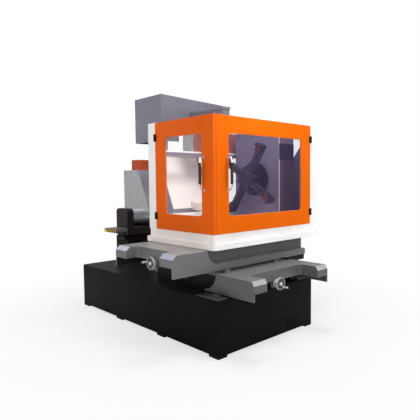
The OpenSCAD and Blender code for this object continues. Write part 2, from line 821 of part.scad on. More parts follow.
// Saddle casting: horned slab at the left, recessed box to the right, sheets on both flanks
module saddle_casting() {
    horn_y0 = sad_y0 + sad_horn_w;
    horn_y1 = sad_y1 - sad_horn_w;
    skirt_z = sad_top - sad_skirt;
    shoe_z = low_top + way_t + film;
    bridge_x = sad_x0 + sad_horn_l;
    nut_x = table_nut_x;
    channel_w = nut_w + 2 * slot_gap;
    color("#77777c") placed() difference() {
        union() {
            along_y(sad_y0, sad_d) polygon([
                [sad_x0, sad_bottom], [sad_scoop_x, sad_bottom], [sad_scoop_x, sad_top],
                [sad_x0 + sad_chamfer_run, sad_top], [sad_x0, sad_top - sad_chamfer_drop]
            ]);
            block([box_x0, box_y0, sad_ledge], [sad_x1, box_y1, sad_deck]);
            for (y = [sad_y0, box_y1 - sad_wall / 2])
                block([box_x0, y, sad_ledge - sad_ledge_t],
                    [sad_x1, y + sad_recess + sad_wall / 2, sad_ledge]);
            for (y = [sad_y0, sad_y1 - sad_sheet])
                along_y(y, sad_sheet) polygon([
                    [sad_x0, skirt_z], [sad_x1, skirt_z], [sad_x1, sad_ledge],
                    [sad_scoop_x, sad_ledge], [sad_scoop_x, sad_top],
                    [sad_x0 + sad_chamfer_run, sad_top], [sad_x0, sad_top - sad_chamfer_drop]
                ]);
            for (side = [0, 1])
                block([y_way_x(side) - (shoe_w - way_w) / 2, box_y0, shoe_z],
                    [y_way_x(side) + (shoe_w + way_w) / 2, box_y1, sad_ledge + cut]);
        }
        translate([sad_x0 - cut - corner_r, horn_y0, sad_bottom - sad_skirt])
            linear_extrude(2 * sad_skirt + sad_slab)
                round_rect(sad_horn_l + cut + corner_r, horn_y1 - horn_y0, corner_r);
        for (y = [sad_y0 - cut, sad_y1 - sad_recess])
            rod_y(sad_scoop_x, y, sad_top, sad_scoop_r, sad_recess + cut);
        block([bridge_x + sad_wall, sad_y0 + sad_wall, sad_bottom - cut],
            [box_x0, sad_y1 - sad_wall, sad_top - sad_wall]);
        saddle_pockets();
        block([bridge_x + sad_wall, x_screw_y - channel_w / 2, x_screw_z - nut_down - screw_drop],
            [sad_x1 - sad_wall, x_screw_y + channel_w / 2, x_screw_z + bearing_drop]);
        block([nut_x - nut_l / 2 - x_travel_left - slot_gap, x_screw_y - channel_w / 2, x_screw_z],
            [nut_x + nut_l / 2 + x_travel_right + slot_gap, x_screw_y + channel_w / 2, sad_deck + cut]);
    }
}

// Pockets under the saddle's deck, between the ribs that stand over the shoes and the nut
module saddle_pockets() {
    top = sad_deck - sad_deck_t;
    edges = [
        [box_x0 + sad_wall, y_way_x(0) - shoe_w / 2],
        [y_way_x(0) + way_w + shoe_w / 2, y_screw_x - nut_w],
        [y_screw_x + nut_w, y_way_x(1) - shoe_w / 2],
        [y_way_x(1) + way_w + shoe_w / 2, sad_x1 - sad_wall]
    ];
    for (e = edges)
        block([e[0], box_y0 + sad_wall, sad_ledge - cut], [e[1], box_y1 - sad_wall, top]);
}

module y_nut() {
    nut_y = sad_y0 + sad_d * nut_y_share;
    color("#b08d4f") placed() difference() {
        block([y_screw_x - nut_w / 2, nut_y - nut_l / 2, y_screw_z - nut_down],
            [y_screw_x + nut_w / 2, nut_y + nut_l / 2, sad_ledge]);
        rod_y(y_screw_x, nut_y - nut_l, y_screw_z, screw_r + run, 2 * nut_l);
    }
}

module x_ways() {
    color("#a9abae") placed() for (y = [box_y0 + x_way_in, box_y1 - x_way_in - x_way_w])
        block([sad_scoop_x + x_way_t, y, sad_deck], [sad_x1 - x_way_t, y + x_way_w, sad_deck + x_way_t]);
}

module x_bearings() {
    left_x = sad_x0 + sad_horn_l;
    right_x = sad_x1 - 2 * sad_wall;
    color("#8d8f92") placed() {
        difference() {
            block([left_x, x_screw_y - bearing_w / 2, x_screw_z - bearing_drop],
                [left_x + sad_wall, x_screw_y + bearing_w / 2, sad_bottom]);
            rod_x(left_x - cut, x_screw_y, x_screw_z, screw_r + run, sad_wall + 2 * cut);
        }
        difference() {
            block([right_x, x_screw_y - bearing_w / 2 + gap, x_screw_z - bearing_drop],
                [right_x + bearing_t - gap, x_screw_y + bearing_w / 2 - gap, sad_deck - sad_deck_t]);
            rod_x(right_x - cut, x_screw_y, x_screw_z, screw_r + run, bearing_t + 2 * cut);
        }
    }
}

guard_drop = 60;
guard_up = 44;
guard_t = 6;
guard_gap = 11;

module end_guard() {
    z0 = sad_top - sad_skirt - guard_drop;
    z1 = sad_top - sad_skirt + guard_up;
    x0 = low_x + low_w + guard_gap;
    y0 = sad_y0 + sad_sheet;
    y1 = sad_y1 - sad_sheet;
    color("#151516") placed() difference() {
        block([x0, y0, z0], [sad_x1, y1, z1]);
        block([x0 - cut, y0 + guard_t, z0 - cut], [sad_x1 - guard_t, y1 - guard_t, z1 + cut]);
    }
}

// Table base with shoes on the saddle's ways
table_x0 = 300;
table_l = 1200;
table_side = 65;
shoe_from = 120;
shoe_end = 60;
table_nut_x = 1095;

module table_base() {
    z0 = tray_z0;
    z1 = tray_floor - tray_sheet;
    way_top = sad_deck + x_way_t;
    color("#3b3c40") placed() {
        block([table_x0, sad_y0 + table_side, z0], [table_x0 + table_l, sad_y1 - table_side, z1]);
        for (y = [box_y0 + x_way_in, box_y1 - x_way_in - x_way_w])
            block([table_x0 + shoe_from, y, way_top + film], [table_x0 + table_l - shoe_end, y + x_way_w, z0]);
    }
}

module x_nut() {
    color("#b08d4f") placed() difference() {
        block([table_nut_x - nut_l / 2, x_screw_y - nut_w / 2, x_screw_z - nut_down],
            [table_nut_x + nut_l / 2, x_screw_y + nut_w / 2, tray_z0]);
        rod_x(table_nut_x - nut_l, x_screw_y, x_screw_z, screw_r + run, 2 * nut_l);
    }
}

// Tray: a lower rim round the table base, a floor, and the plinth under the doors
drain_r = 21;
drain_hole_r = 17;
drain_l = 55;
drain_in = 95;

module tray() {
    plinth_w = plinth_x1 - plinth_x0;
    plinth_d = plinth_y1 - plinth_y0;
    drain_x = tray_x1 - drain_in;
    drain_y = plinth_y1 - drain_in;
    color("#ecebe8") placed() difference() {
        union() {
            translate([tray_x0, tray_y0, tray_z0]) linear_extrude(rim_h) round_rect(tray_l, tray_d, corner_r);
            translate([plinth_x0, plinth_y0, tray_floor - cut]) linear_extrude(plinth_h + cut)
                round_rect(plinth_w, plinth_d, plinth_t / 2);
            rod_z(drain_x, drain_y, tray_z0 - drain_l + rim_h, drain_r, drain_l - cut);
        }
        translate([tray_x0 + tray_sheet, tray_y0 + tray_sheet, tray_z0 - cut]) difference() {
            linear_extrude(rim_h - tray_sheet + cut)
                round_rect(tray_l - 2 * tray_sheet, tray_d - 2 * tray_sheet, corner_r - tray_sheet);
            rod_z(drain_x - tray_x0 - tray_sheet, drain_y - tray_y0 - tray_sheet, -cut, drain_r, rim_h + cut);
        }
        block([plinth_x0 + plinth_t, plinth_y0 + plinth_t, tray_floor],
            [plinth_x1 - plinth_t, plinth_y1 - plinth_t, plinth_z + cut]);
        rod_z(drain_x, drain_y, tray_z0 - drain_l, drain_hole_r, 2 * rim_h + drain_l);
    }
}

// A capped post, hollow inside and open below
module post(x, y, w, d, z1) {
    difference() {
        block([x, y, plinth_z], [x + w, y + d, z1]);
        block([x + post_sheet, y + post_sheet, plinth_z - cut],
            [x + w - post_sheet, y + d - post_sheet, z1 - post_sheet]);
    }
}

gusset_run = 797;
wall_sheet = 4;

module enclosure_frame() {
    rail_y0 = plinth_y1 - post_t;
    right_x = plinth_x1 - post_t;
    wall_z = plinth_z + low_wall_h;
    color("#ecebe8") placed() {
        post(plinth_x0, plinth_y1 - post_w, post_t, post_w, post_top);
        post(plinth_x1 - post_w - wall_sheet, plinth_y0, post_w, post_t, post_top);
        post(right_x - wall_sheet, plinth_y1 - post_w, post_t, post_w, rail_z0 + rail_h);
        block([plinth_x0 + post_t, plinth_y1 - wall_sheet, plinth_z],
            [right_x - wall_sheet, plinth_y1, wall_z]);
        difference() {
            block([plinth_x0 + post_t, rail_y0, rail_z0], [right_x - wall_sheet, plinth_y1, rail_z0 + rail_h]);
            block([plinth_x0 + post_t - cut, rail_y0 + wall_sheet, rail_z0 + wall_sheet],
                [right_x, plinth_y1 - wall_sheet, rail_z0 + rail_h - wall_sheet]);
        }
        along_x(plinth_x1 - wall_sheet, wall_sheet) polygon([
            [plinth_y0, plinth_z], [plinth_y1, plinth_z], [plinth_y1, wall_z],
            [plinth_y0 + gusset_run, wall_z], [plinth_y0 + post_t, post_top], [plinth_y0, post_top]
        ]);
    }
}

rear_panel_x0 = 721;
rear_panel_drop = 26;
rear_panel_t = 12;

module rear_panel() {
    z0 = rail_z0 + rail_h;
    right_x = plinth_x1 - wall_sheet - post_t;
    color("#e8711a") placed() block([rear_panel_x0, plinth_y1 - rear_panel_t, z0],
        [right_x, plinth_y1, post_top - rear_panel_drop]);
}

// Work head: case, hatch and spindle housing
head_x0 = 1280;
head_wall = 8;
spindle_r = 60;
cartridge_r = 95;
flange_r = 130;
flange_out = 12;
head_back = 156;
head_y0 = sad_y0 + head_back;
spindle_y = head_y0 + head_d / 2;
spindle_z = tray_floor + spindle_h;

module headstock_case() {
    color("#7d7b8c") placed() difference() {
        block([head_x0, head_y0, tray_floor], [head_x0 + head_w, head_y0 + head_d, tray_floor + head_h]);
        block([head_x0 + head_wall, head_y0 + head_wall, tray_floor + head_wall],
            [head_x0 + head_w - head_wall, head_y0 + head_d - head_wall, tray_floor + head_h - head_wall]);
        rod_x(head_x0 - cut, spindle_y, spindle_z, cartridge_r, head_wall + 2 * cut);
    }
}

hatch_up = 802;
hatch_h = 175;
hatch_t = 8;
hatch_in = 4;

module headstock_hatch() {
    color("#45435a") placed() block([head_x0 + hatch_in, head_y0 - hatch_t, tray_floor + hatch_up],
        [head_x0 + head_w - hatch_in, head_y0, tray_floor + hatch_up + hatch_h]);
}

cartridge_l = 200;

module spindle_housing() {
    color("#6a6a74") placed() difference() {
        union() {
            rod_x(head_x0 - flange_out, spindle_y, spindle_z, flange_r, flange_out);
            rod_x(head_x0, spindle_y, spindle_z, cartridge_r, cartridge_l);
        }
        rod_x(head_x0 - flange_out - cut, spindle_y, spindle_z, spindle_r + run, cartridge_l + 2 * flange_out);
    }
}

// Chuck: backplate, body and spindle, four arms and their jaws
chuck_gap = 6;
backplate_t = 30;
backplate_r = 190;
chuck_l = 77;
arm_x1 = head_x0 - flange_out - chuck_gap - backplate_t - chuck_l;
groove_w = 22;
groove_deep = 20;
boss_r = 85;
boss_t = 10;
spindle_tail = 10;

module chuck_hub() {
    color("#4c4a58") placed() {
        rod_x(arm_x1 + chuck_l, spindle_y, spindle_z, backplate_r, backplate_t);
        rod_x(arm_x1, spindle_y, spindle_z, chuck_r, chuck_l + cut);
        rod_x(arm_x1 + chuck_l, spindle_y, spindle_z, spindle_r,
            backplate_t + chuck_gap + flange_out + cartridge_l - spindle_tail);
    }
}

// Places what is drawn along +z from the spindle axis onto arm number i
module on_arm(i) {
    translate([0, spindle_y, spindle_z]) rotate([arm_turn + 90 * i, 0, 0]) children();
}

module chuck_arms() {
    x0 = arm_x1 - arm_s;
    color("#57556a") placed() difference() {
        union() {
            for (i = [0, 1]) on_arm(i)
                block([x0, -arm_s / 2, -arm_reach], [arm_x1, arm_s / 2, arm_reach]);
            rod_x(x0 - boss_t, spindle_y, spindle_z, boss_r, arm_s + boss_t);
        }
        for (i = [0 : 3]) on_arm(i)
            block([x0 - cut, -groove_w / 2, boss_r + boss_t], [x0 + groove_deep, groove_w / 2, arm_reach + cut]);
    }
}

jaw_l = 100;
jaw_w = 78;
jaw_t = 24;
finger_l = 34;
finger_out = 36;
pad_t = 12;
pad_in = 16;

module jaw(i) {
    x1 = arm_x1 - arm_s - film;
    color("#2c2a33") placed() on_arm(i) {
        block([x1 - jaw_t, -jaw_w / 2, jaw_at - jaw_l / 2], [x1, jaw_w / 2, jaw_at + jaw_l / 2]);
        block([x1 - cut, -groove_w / 2 + film, jaw_at - jaw_l / 2],
            [x1 + groove_deep - film, groove_w / 2 - film, jaw_at + jaw_l / 2]);
        difference() {
            block([x1 - jaw_t - finger_out, -jaw_w / 2, jaw_at + jaw_l / 2 - finger_l],
                [x1 - jaw_t, jaw_w / 2, jaw_at + jaw_l / 2]);
            block([x1 - jaw_t - finger_out - cut, -jaw_w / 2 + pad_in, jaw_at + jaw_l / 2 - finger_l - cut],
                [x1 - jaw_t - pad_in, jaw_w / 2 - pad_in, jaw_at + jaw_l / 2 - pad_t]);
        }
    }
}

module jaw_1() {
    jaw(0);
}

module jaw_2() {
    jaw(1);
}

module jaw_3() {
    jaw(2);
}

module jaw_4() {
    jaw(3);
}

// Doors. Each is a frame with a rounded window, a glass pane, a bow handle and two hinges
pane_lap = 12;
pane_deep = 12;
left_l = plinth_y1 - post_w - front_y0;
front_x0 = left_x0 + door_t + door_gap;
front_l = plinth_x1 - post_w - wall_sheet - front_x0;
window_h = door_h - 2 * window_in;
door_shell = 5;

// Door drawn flat: u along the width from the free edge, v up, thickness inwards
module door_leaf(width) {
    window_l = width - 2 * window_in;
    difference() {
        cube([width, door_t, door_h]);
        translate([window_in, door_t + cut, window_in]) rotate([90, 0, 0])
            linear_extrude(door_t + 2 * cut) round_rect(window_l, window_h, window_r);
        translate([window_in - pane_lap, pane_deep, window_in - pane_lap])
            cube([window_l + 2 * pane_lap, door_t, window_h + 2 * pane_lap]);
        for (side = [
            [door_shell, window_in - pane_lap - door_shell],
            [window_in + window_l + pane_lap + door_shell, width - door_shell]
        ])
            translate([side[0], door_shell, door_shell])
                cube([side[1] - side[0], door_t - 2 * door_shell, door_h - 2 * door_shell]);
    }
}

module door_pane(width) {
    window_l = width - 2 * window_in;
    translate([window_in - pane_lap + gap, pane_deep, window_in - pane_lap + gap])
        cube([window_l + 2 * (pane_lap - gap), pane_t, window_h + 2 * (pane_lap - gap)]);
}

// The left door faces -x: its width runs from the front edge to the rear
module on_left_door() {
    translate([left_x0, front_y0, door_z0]) mirror([1, 0, 0]) rotate([0, 0, 90]) children();
}

module on_front_door() {
    translate([front_x0, front_y0, door_z0]) children();
}

module left_door() {
    color("#d9601a") placed() on_left_door() door_leaf(left_l - door_gap);
}

module left_window() {
    color("#c9c4d8", 0.35) placed() on_left_door() door_pane(left_l - door_gap);
}

module front_door() {
    color("#f57a14") placed() on_front_door() door_leaf(front_l - door_gap);
}

module front_window() {
    color("#c9c4d8", 0.35) placed() on_front_door() door_pane(front_l - door_gap);
}

// Bow handle: two curved chrome ends and a straight black grip
bow_in = 122;
bow_up = 400;
bow_h = 300;
bow_r = 8;
bow_out = 52;
bow_bend = 40;
bow_grip_r = 13;
bow_foot_r = 14;
bow_foot_t = 6;

// Drawn from the lower foot's middle on the door: out is -y, up is z
module bow_metal() {
    for (v = [0, bow_h]) translate([0, 0, v]) rotate([90, 0, 0]) {
        cylinder(r = bow_foot_r, h = bow_foot_t);
        cylinder(r = bow_r, h = bow_out - bow_bend);
    }
    translate([0, bow_bend - bow_out, bow_bend]) rotate([0, 90, 180])
        rotate_extrude(angle = 90) translate([bow_bend, 0]) circle(r = bow_r);
    translate([0, bow_bend - bow_out, bow_h - bow_bend]) rotate([0, -90, 180])
        rotate_extrude(angle = 90) translate([bow_bend, 0]) circle(r = bow_r);
    translate([0, -bow_out, bow_bend]) cylinder(r = bow_r, h = bow_h - 2 * bow_bend);
}

module bow_grip() {
    end = bow_bend + bow_grip_r;
    difference() {
        translate([0, -bow_out, end]) cylinder(r = bow_grip_r, h = bow_h - 2 * end);
        translate([0, -bow_out, 0]) cylinder(r = bow_r, h = bow_h);
    }
}

module at_left_bow() {
    translate([left_x0, front_y0 + bow_in, door_z0 + bow_up]) rotate([0, 0, -90]) children();
}

module at_front_bow() {
    translate([front_x0 + front_bow_in, front_y0, door_z0 + bow_up]) children();
}

front_bow_in = 145;

module left_bow() {
    color("#c9ccd0") placed() at_left_bow() bow_metal();
}

module left_grip() {
    color("#161617") placed() at_left_bow() bow_grip();
}

module front_bow() {
    color("#c9ccd0") placed() at_front_bow() bow_metal();
}

module front_grip() {
    color("#161617") placed() at_front_bow() bow_grip();
}

// Hinges: a fixed leaf with the pin on the post, a knuckle on the door
hinge_h = 72;
hinge_low = 96;
hinge_high = 892;
hinge_out = 9;
knuckle_r = 8;
pin_r = 4;
leaf_w = 26;
leaf_t = 5;
hinge_share = 0.5;

hinge_left_x = left_x0 - hinge_out;
hinge_left_y = front_y0 + left_l;
hinge_front_x = front_x0 + front_l;
hinge_front_y = front_y0 - hinge_out;

// Drawn at the hinge axis: the post lies towards +u, the door towards -u, outside is -v
module hinge_fixed(z) {
    half = hinge_h * hinge_share;
    translate([0, 0, z]) {
        translate([0, hinge_out + door_proud - leaf_t, 0]) cube([leaf_w, leaf_t, hinge_h]);
        cylinder(r = knuckle_r, h = half - gap);
        cylinder(r = pin_r, h = hinge_h);
        cube([knuckle_r, hinge_out + door_proud, half - gap]);
    }
}

module hinge_moving(z) {
    half = hinge_h * hinge_share;
    difference() {
        translate([0, 0, z]) {
            translate([-leaf_w, hinge_out - leaf_t, 0]) cube([leaf_w - knuckle_r - gap, leaf_t, hinge_h]);
            translate([-leaf_w, hinge_out - leaf_t, half]) cube([leaf_w, leaf_t, half]);
            translate([0, 0, half]) cylinder(r = knuckle_r, h = half);
        }
        translate([0, 0, z + half - cut]) cylinder(r = pin_r + run, h = half + 2 * cut);
    }
}

module at_left_hinge() {
    translate([hinge_left_x, hinge_left_y, door_z0]) mirror([1, 0, 0]) rotate([0, 0, 90]) children();
}

module at_front_hinge() {
    translate([hinge_front_x, hinge_front_y, door_z0]) children();
}

module hinge_leaves() {
    color("#18181a") placed() for (z = [hinge_low, hinge_high]) {
        at_left_hinge() hinge_fixed(z);
        at_front_hinge() hinge_fixed(z);
    }
}

module left_knuckles() {
    color("#18181a") placed() for (z = [hinge_low, hinge_high]) at_left_hinge() hinge_moving(z);
}

module front_knuckles() {
    color("#18181a") placed() for (z = [hinge_low, hinge_high]) at_front_hinge() hinge_moving(z);
}

// Lead screws and their handwheels
screw_collar_r = 28;
screw_collar_l = 14;

// A screw along +z from its handwheel end, with collars either side of the front bearing
module lead_screw(bearing_len, front_len, length) {
    cylinder(r = screw_r, h = length);
    translate([0, 0, front_len + bearing_len + gap]) cylinder(r = screw_collar_r, h = screw_collar_l);
}

y_front = 57;
y_screw_l = deck_y1 - riser_wall - low_y - low_horn_l;
x_front = 40;
x_screw_l = sad_x1 - sad_x0 - sad_horn_l - sad_wall;

module y_screw() {
    y0 = low_y + low_horn_l - y_front;
    color("#9c9ea2") placed() translate([y_screw_x, y0, y_screw_z]) rotate([-90, 0, 0])
        lead_screw(low_wall, y_front, y_screw_l + y_front - 4 * gap);
}

module x_screw() {
    x0 = sad_x0 + sad_horn_l - x_front;
    color("#9c9ea2") placed() translate([x0, x_screw_y, x_screw_z]) rotate([0, 90, 0])
        lead_screw(sad_wall, x_front, x_screw_l + x_front - 4 * gap);
}

// Handwheel drawn with its axis along z: outer face at z = 0, collar towards +z
web_t = 7;
rim_w = 12;
hub_r = 26;

module handwheel(collar_l, crank_angle) {
    rotate_extrude() polygon([
        [screw_r + run, wheel_t + collar_l], [screw_r + run, web_t], [0, web_t], [0, 0],
        [hub_r, 0], [hub_r, web_t], [wheel_r - rim_w, web_t], [wheel_r - rim_w, 0],
        [wheel_r, 0], [wheel_r, wheel_t], [collar_r, wheel_t], [collar_r, wheel_t + collar_l]
    ]);
    rotate([0, 0, crank_angle]) translate([crank_r, 0, -grip_l]) cylinder(r = grip_r, h = grip_l + wheel_t / 2);
}

y_crank = -49;
x_crank = 104;

module y_handwheel() {
    y0 = low_y + low_horn_l - y_front - web_t;
    color("#c5c8cb") placed() translate([y_screw_x, y0, y_screw_z]) rotate([-90, 0, 0])
        handwheel(y_front - wheel_t + web_t - gap, -y_crank);
}

module x_handwheel() {
    x0 = sad_x0 + sad_horn_l - x_front - web_t;
    color("#c5c8cb") placed() translate([x0, x_screw_y, x_screw_z]) rotate([0, 90, 0])
        handwheel(x_front - wheel_t + web_t - gap, x_crank);
}

// Drum group at the rear: pedestal with ways, carriage with bearing blocks, drum and motor
ped_left = 331.5;
ped_x0 = wire_x - ped_left;
ped_w = 662;
ped_d = 286;
ped_h = 342;
drum_way_h = 20;
drum_way_w = 40;
drum_way_in = 30;
carriage_low_t = 40;
carriage_top_t = 48;
carriage_d = 280;
carriage_left = 176;
carriage_right = 154;
block_w = 96;
block_d = 262;
block_top = 106;
block_cut = 34;
drum_gap = 6;
shaft_r = 20;
drum_flange_t = 10;
drum_flange_up = 3;
coupling_r = 42;
coupling_l = 66;
motor_r = 82;
motor_l = 230;
motor_foot = 12;

carriage_z0 = bed_top + ped_h + drum_way_h + film;
carriage_z1 = carriage_z0 + carriage_low_t + carriage_top_t;
drum_x0 = ped_x0 + block_w + drum_gap;
block2_x = drum_x0 + drum_l + drum_gap;

module drum_pedestal() {
    y0 = drum_y - ped_d / 2;
    top = bed_top + ped_h;
    color("#221d1b") placed() {
        difference() {
            block([ped_x0, y0, bed_top], [ped_x0 + ped_w, y0 + ped_d, top]);
            block([ped_x0 + bed_wall, y0 + bed_wall, bed_top + bed_wall],
                [ped_x0 + ped_w - bed_wall, y0 + ped_d - bed_wall, top - bed_wall]);
        }
        for (y = [y0 + drum_way_in, y0 + ped_d - drum_way_in - drum_way_w])
            block([ped_x0, y, top], [ped_x0 + ped_w, y + drum_way_w, top + drum_way_h]);
    }
}

module drum_block(x) {
    y0 = drum_y - block_d / 2;
    y1 = drum_y + block_d / 2;
    top = drum_z + block_top;
    difference() {
        along_x(x, block_w) polygon([
            [y0, carriage_z1 - cut], [y1, carriage_z1 - cut], [y1, top - block_cut],
            [y1 - block_cut, top], [y0 + block_cut, top], [y0, top - block_cut]
        ]);
        rod_x(x - cut, drum_y, drum_z, shaft_r + run, block_w + 2 * cut);
    }
}

module drum_carriage() {
    y0 = drum_y - carriage_d / 2;
    x1 = ped_x0 + ped_w + carriage_right;
    color("#3a2f2c") placed() {
        block([ped_x0, y0, carriage_z0], [ped_x0 + ped_w, y0 + carriage_d, carriage_z1 - cut]);
        block([ped_x0 - carriage_left, y0, carriage_z1 - carriage_top_t], [x1, y0 + carriage_d, carriage_z1]);
        drum_block(ped_x0);
        drum_block(block2_x);
    }
}

module drum() {
    shaft_l = 2 * (block_w + drum_gap) + drum_l + gap;
    color("#8a8d90") placed() {
        rod_x(ped_x0, drum_y, drum_z, shaft_r, shaft_l + cut);
        rod_x(drum_x0, drum_y, drum_z, drum_r, drum_l);
        for (x = [drum_x0, drum_x0 + drum_l - drum_flange_t])
            rod_x(x, drum_y, drum_z, drum_r + drum_flange_up, drum_flange_t);
        rod_x(ped_x0 + shaft_l, drum_y, drum_z, coupling_r, coupling_l);
    }
}

module drum_motor() {
    x0 = block2_x + block_w + gap + coupling_l + gap;
    color("#4a4c50") placed() {
        rod_x(x0, drum_y, drum_z, motor_r, motor_l);
        block([x0 + motor_foot, drum_y - motor_r, carriage_z1],
            [x0 + motor_l - motor_foot, drum_y + motor_r, carriage_z1 + motor_foot]);
        block([x0 + motor_foot, drum_y - motor_r / 2, carriage_z1],
            [x0 + motor_l - motor_foot, drum_y + motor_r / 2, drum_z]);
    }
}

bed();
bed_feet();
corner_plate();
riser_frame();
lower_casting();
y_ways();
y_bearings();
casting_bolts();
column();
column_panel();
side_housings();
side_box();
hood();
upper_arm();
lower_arm();
pulley_axles();
drum_pedestal();
cutting_wire();
power_gland();
saddle_casting();
y_nut();
x_ways();
x_bearings();
end_guard();
table_base();
x_nut();
tray();
enclosure_frame();
rear_panel();
headstock_case();
headstock_hatch();
spindle_housing();
hinge_leaves();
left_door();
left_window();
left_grip();
left_bow();
left_knuckles();
front_door();
front_window();
front_grip();
front_bow();
front_knuckles();
chuck_hub();
chuck_arms();
jaw_1();
jaw_2();
jaw_3();
jaw_4();
y_screw();
y_handwheel();
x_screw();
x_handwheel();
drum_carriage();
drum_motor();
drum();
upper_rear_pulley();
upper_tip_pulley();
lower_tip_pulley();
lower_rear_pulley();
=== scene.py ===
# %% [markdown]
# # Wire saw for stone
# The castings, sheets, doors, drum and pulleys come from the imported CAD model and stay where
# they are. This lesson dresses them: paint, machined metal, panes and rubber, and the small
# repeated pieces that a maker adds last, such as screws, fins, windings and trim.

# %% Load the fixed frame
import math

import bmesh
import bpy
from mathutils import Matrix, Vector


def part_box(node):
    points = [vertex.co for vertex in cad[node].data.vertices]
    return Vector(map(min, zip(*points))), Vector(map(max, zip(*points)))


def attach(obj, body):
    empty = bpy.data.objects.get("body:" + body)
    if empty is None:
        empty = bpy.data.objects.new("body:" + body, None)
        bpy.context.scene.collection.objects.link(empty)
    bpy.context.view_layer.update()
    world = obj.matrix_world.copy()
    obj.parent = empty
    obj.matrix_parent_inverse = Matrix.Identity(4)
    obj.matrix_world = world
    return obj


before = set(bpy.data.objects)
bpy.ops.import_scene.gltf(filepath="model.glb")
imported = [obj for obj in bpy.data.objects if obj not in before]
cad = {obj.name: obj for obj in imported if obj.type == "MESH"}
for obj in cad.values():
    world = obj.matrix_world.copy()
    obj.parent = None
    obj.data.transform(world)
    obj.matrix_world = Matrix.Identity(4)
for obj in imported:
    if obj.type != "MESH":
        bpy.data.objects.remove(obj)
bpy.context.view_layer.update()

# %% [markdown]
# The camera stands at the photograph's place: about head height, in front of the machine's
# left corner, level but for a slight downward tilt. Building its matrix from the three view
# angles keeps the lens free of any shift.

# %% Camera
EYE = Vector((-3.3116, -3.8504, 1.5673))
VIEW_TURN, VIEW_DIP, VIEW_ROLL = math.radians(-42.72), math.radians(3.77), math.radians(-0.58)
FOCAL_SHARE = 443.9 / 420  # focal length over picture width, as fitted to the photograph
SENSOR = 36.0


def new_object(name, data):
    made = bpy.data.objects.new(name, data)
    bpy.context.scene.collection.objects.link(made)
    return made


def view_axes(turn, dip, roll):
    """The camera's own right, up and backward directions."""
    ahead = Vector((-math.sin(turn) * math.cos(dip), math.cos(turn) * math.cos(dip), -math.sin(dip)))
    right = Vector((math.cos(turn), math.sin(turn), 0))
    up = right.cross(ahead)
    side = right * math.cos(roll) + up * math.sin(roll)
    top = up * math.cos(roll) - right * math.sin(roll)
    return side, top, -ahead


lens = bpy.data.cameras.new("camera")
lens.sensor_width = SENSOR
lens.lens = SENSOR * FOCAL_SHARE
camera = new_object("camera", lens)
side, top, back = view_axes(VIEW_TURN, VIEW_DIP, VIEW_ROLL)
camera.matrix_world = Matrix.Translation(EYE) @ Matrix((side, top, back)).transposed().to_4x4()
bpy.context.scene.camera = camera
print("lens:", round(lens.lens, 2), "mm")

# %% [markdown]
# Every material is a small graph of nodes. A few helpers keep those graphs short: they make a
# node and fill or link its inputs, or open a fresh shader group with named sockets.

# %% Node helpers
SOCKET_KINDS = {
    "color": "NodeSocketColor", "value": "NodeSocketFloat", "vector": "NodeSocketVector",
    "number": "NodeSocketInt", "finish": "NodeSocketMaterial",
}


def add(tree, kind, settings=None, at=None, **inputs):
    """A node whose inputs, by number in at or else by name, are linked or filled."""
    made = tree.nodes.new(kind)
    for key, value in (settings or {}).items():
        setattr(made, key, value)
    pairs = [(made.inputs[key.replace("_", " ")], value) for key, value in inputs.items()]
    pairs += [(made.inputs[place], value) for place, value in (at or {}).items()]
    for socket, value in pairs:
        if isinstance(value, bpy.types.NodeSocket):
            tree.links.new(value, socket)
        else:
            socket.default_value = value
    return made


def feed(tree, sockets, **values):
    """Link each value to the socket of its name."""
    for key, value in values.items():
        tree.links.new(value, sockets[key.replace("_", " ")])


def own_place(tree):
    """Where each point lies in the shared frame."""
    return add(tree, "ShaderNodeTexCoord").outputs["Object"]


def arithmetic(tree, operation, a, b, clamp=False):
    made = add(tree, "ShaderNodeMath", {"operation": operation, "use_clamp": clamp}, {0: a, 1: b})
    return made.outputs[0]


def dot(tree, a, b):
    return add(tree, "ShaderNodeVectorMath", {"operation": "DOT_PRODUCT"}, {0: a, 1: b}).outputs["Value"]


def blend_color(tree, share, low, high):
    """From one colour to the other; a colour mix has its sockets at 6, 7 and 2."""
    return add(tree, "ShaderNodeMix", {"data_type": "RGBA"}, {0: share, 6: low, 7: high}).outputs[2]


def spread(tree, value, low, high, to_low, to_high):
    places = {0: value, 1: low, 2: high, 3: to_low, 4: to_high}
    return add(tree, "ShaderNodeMapRange", at=places).outputs[0]


def noise(tree, where, scale, detail=3.0, rough=0.55):
    made = add(tree, "ShaderNodeTexNoise", Vector=where, Scale=scale, Detail=detail, Roughness=rough)
    return made.outputs[0]


def new_group(name, inputs, outputs):
    group = bpy.data.node_groups.new(name, "ShaderNodeTree")
    for label, kind, default in inputs:
        socket = group.interface.new_socket(name=label, in_out="INPUT", socket_type=SOCKET_KINDS[kind])
        socket.default_value = default
    for label, kind in outputs:
        group.interface.new_socket(name=label, in_out="OUTPUT", socket_type=SOCKET_KINDS[kind])
    given = group.nodes.new("NodeGroupInput").outputs
    return group, given, group.nodes.new("NodeGroupOutput").inputs


print("node helpers ready")
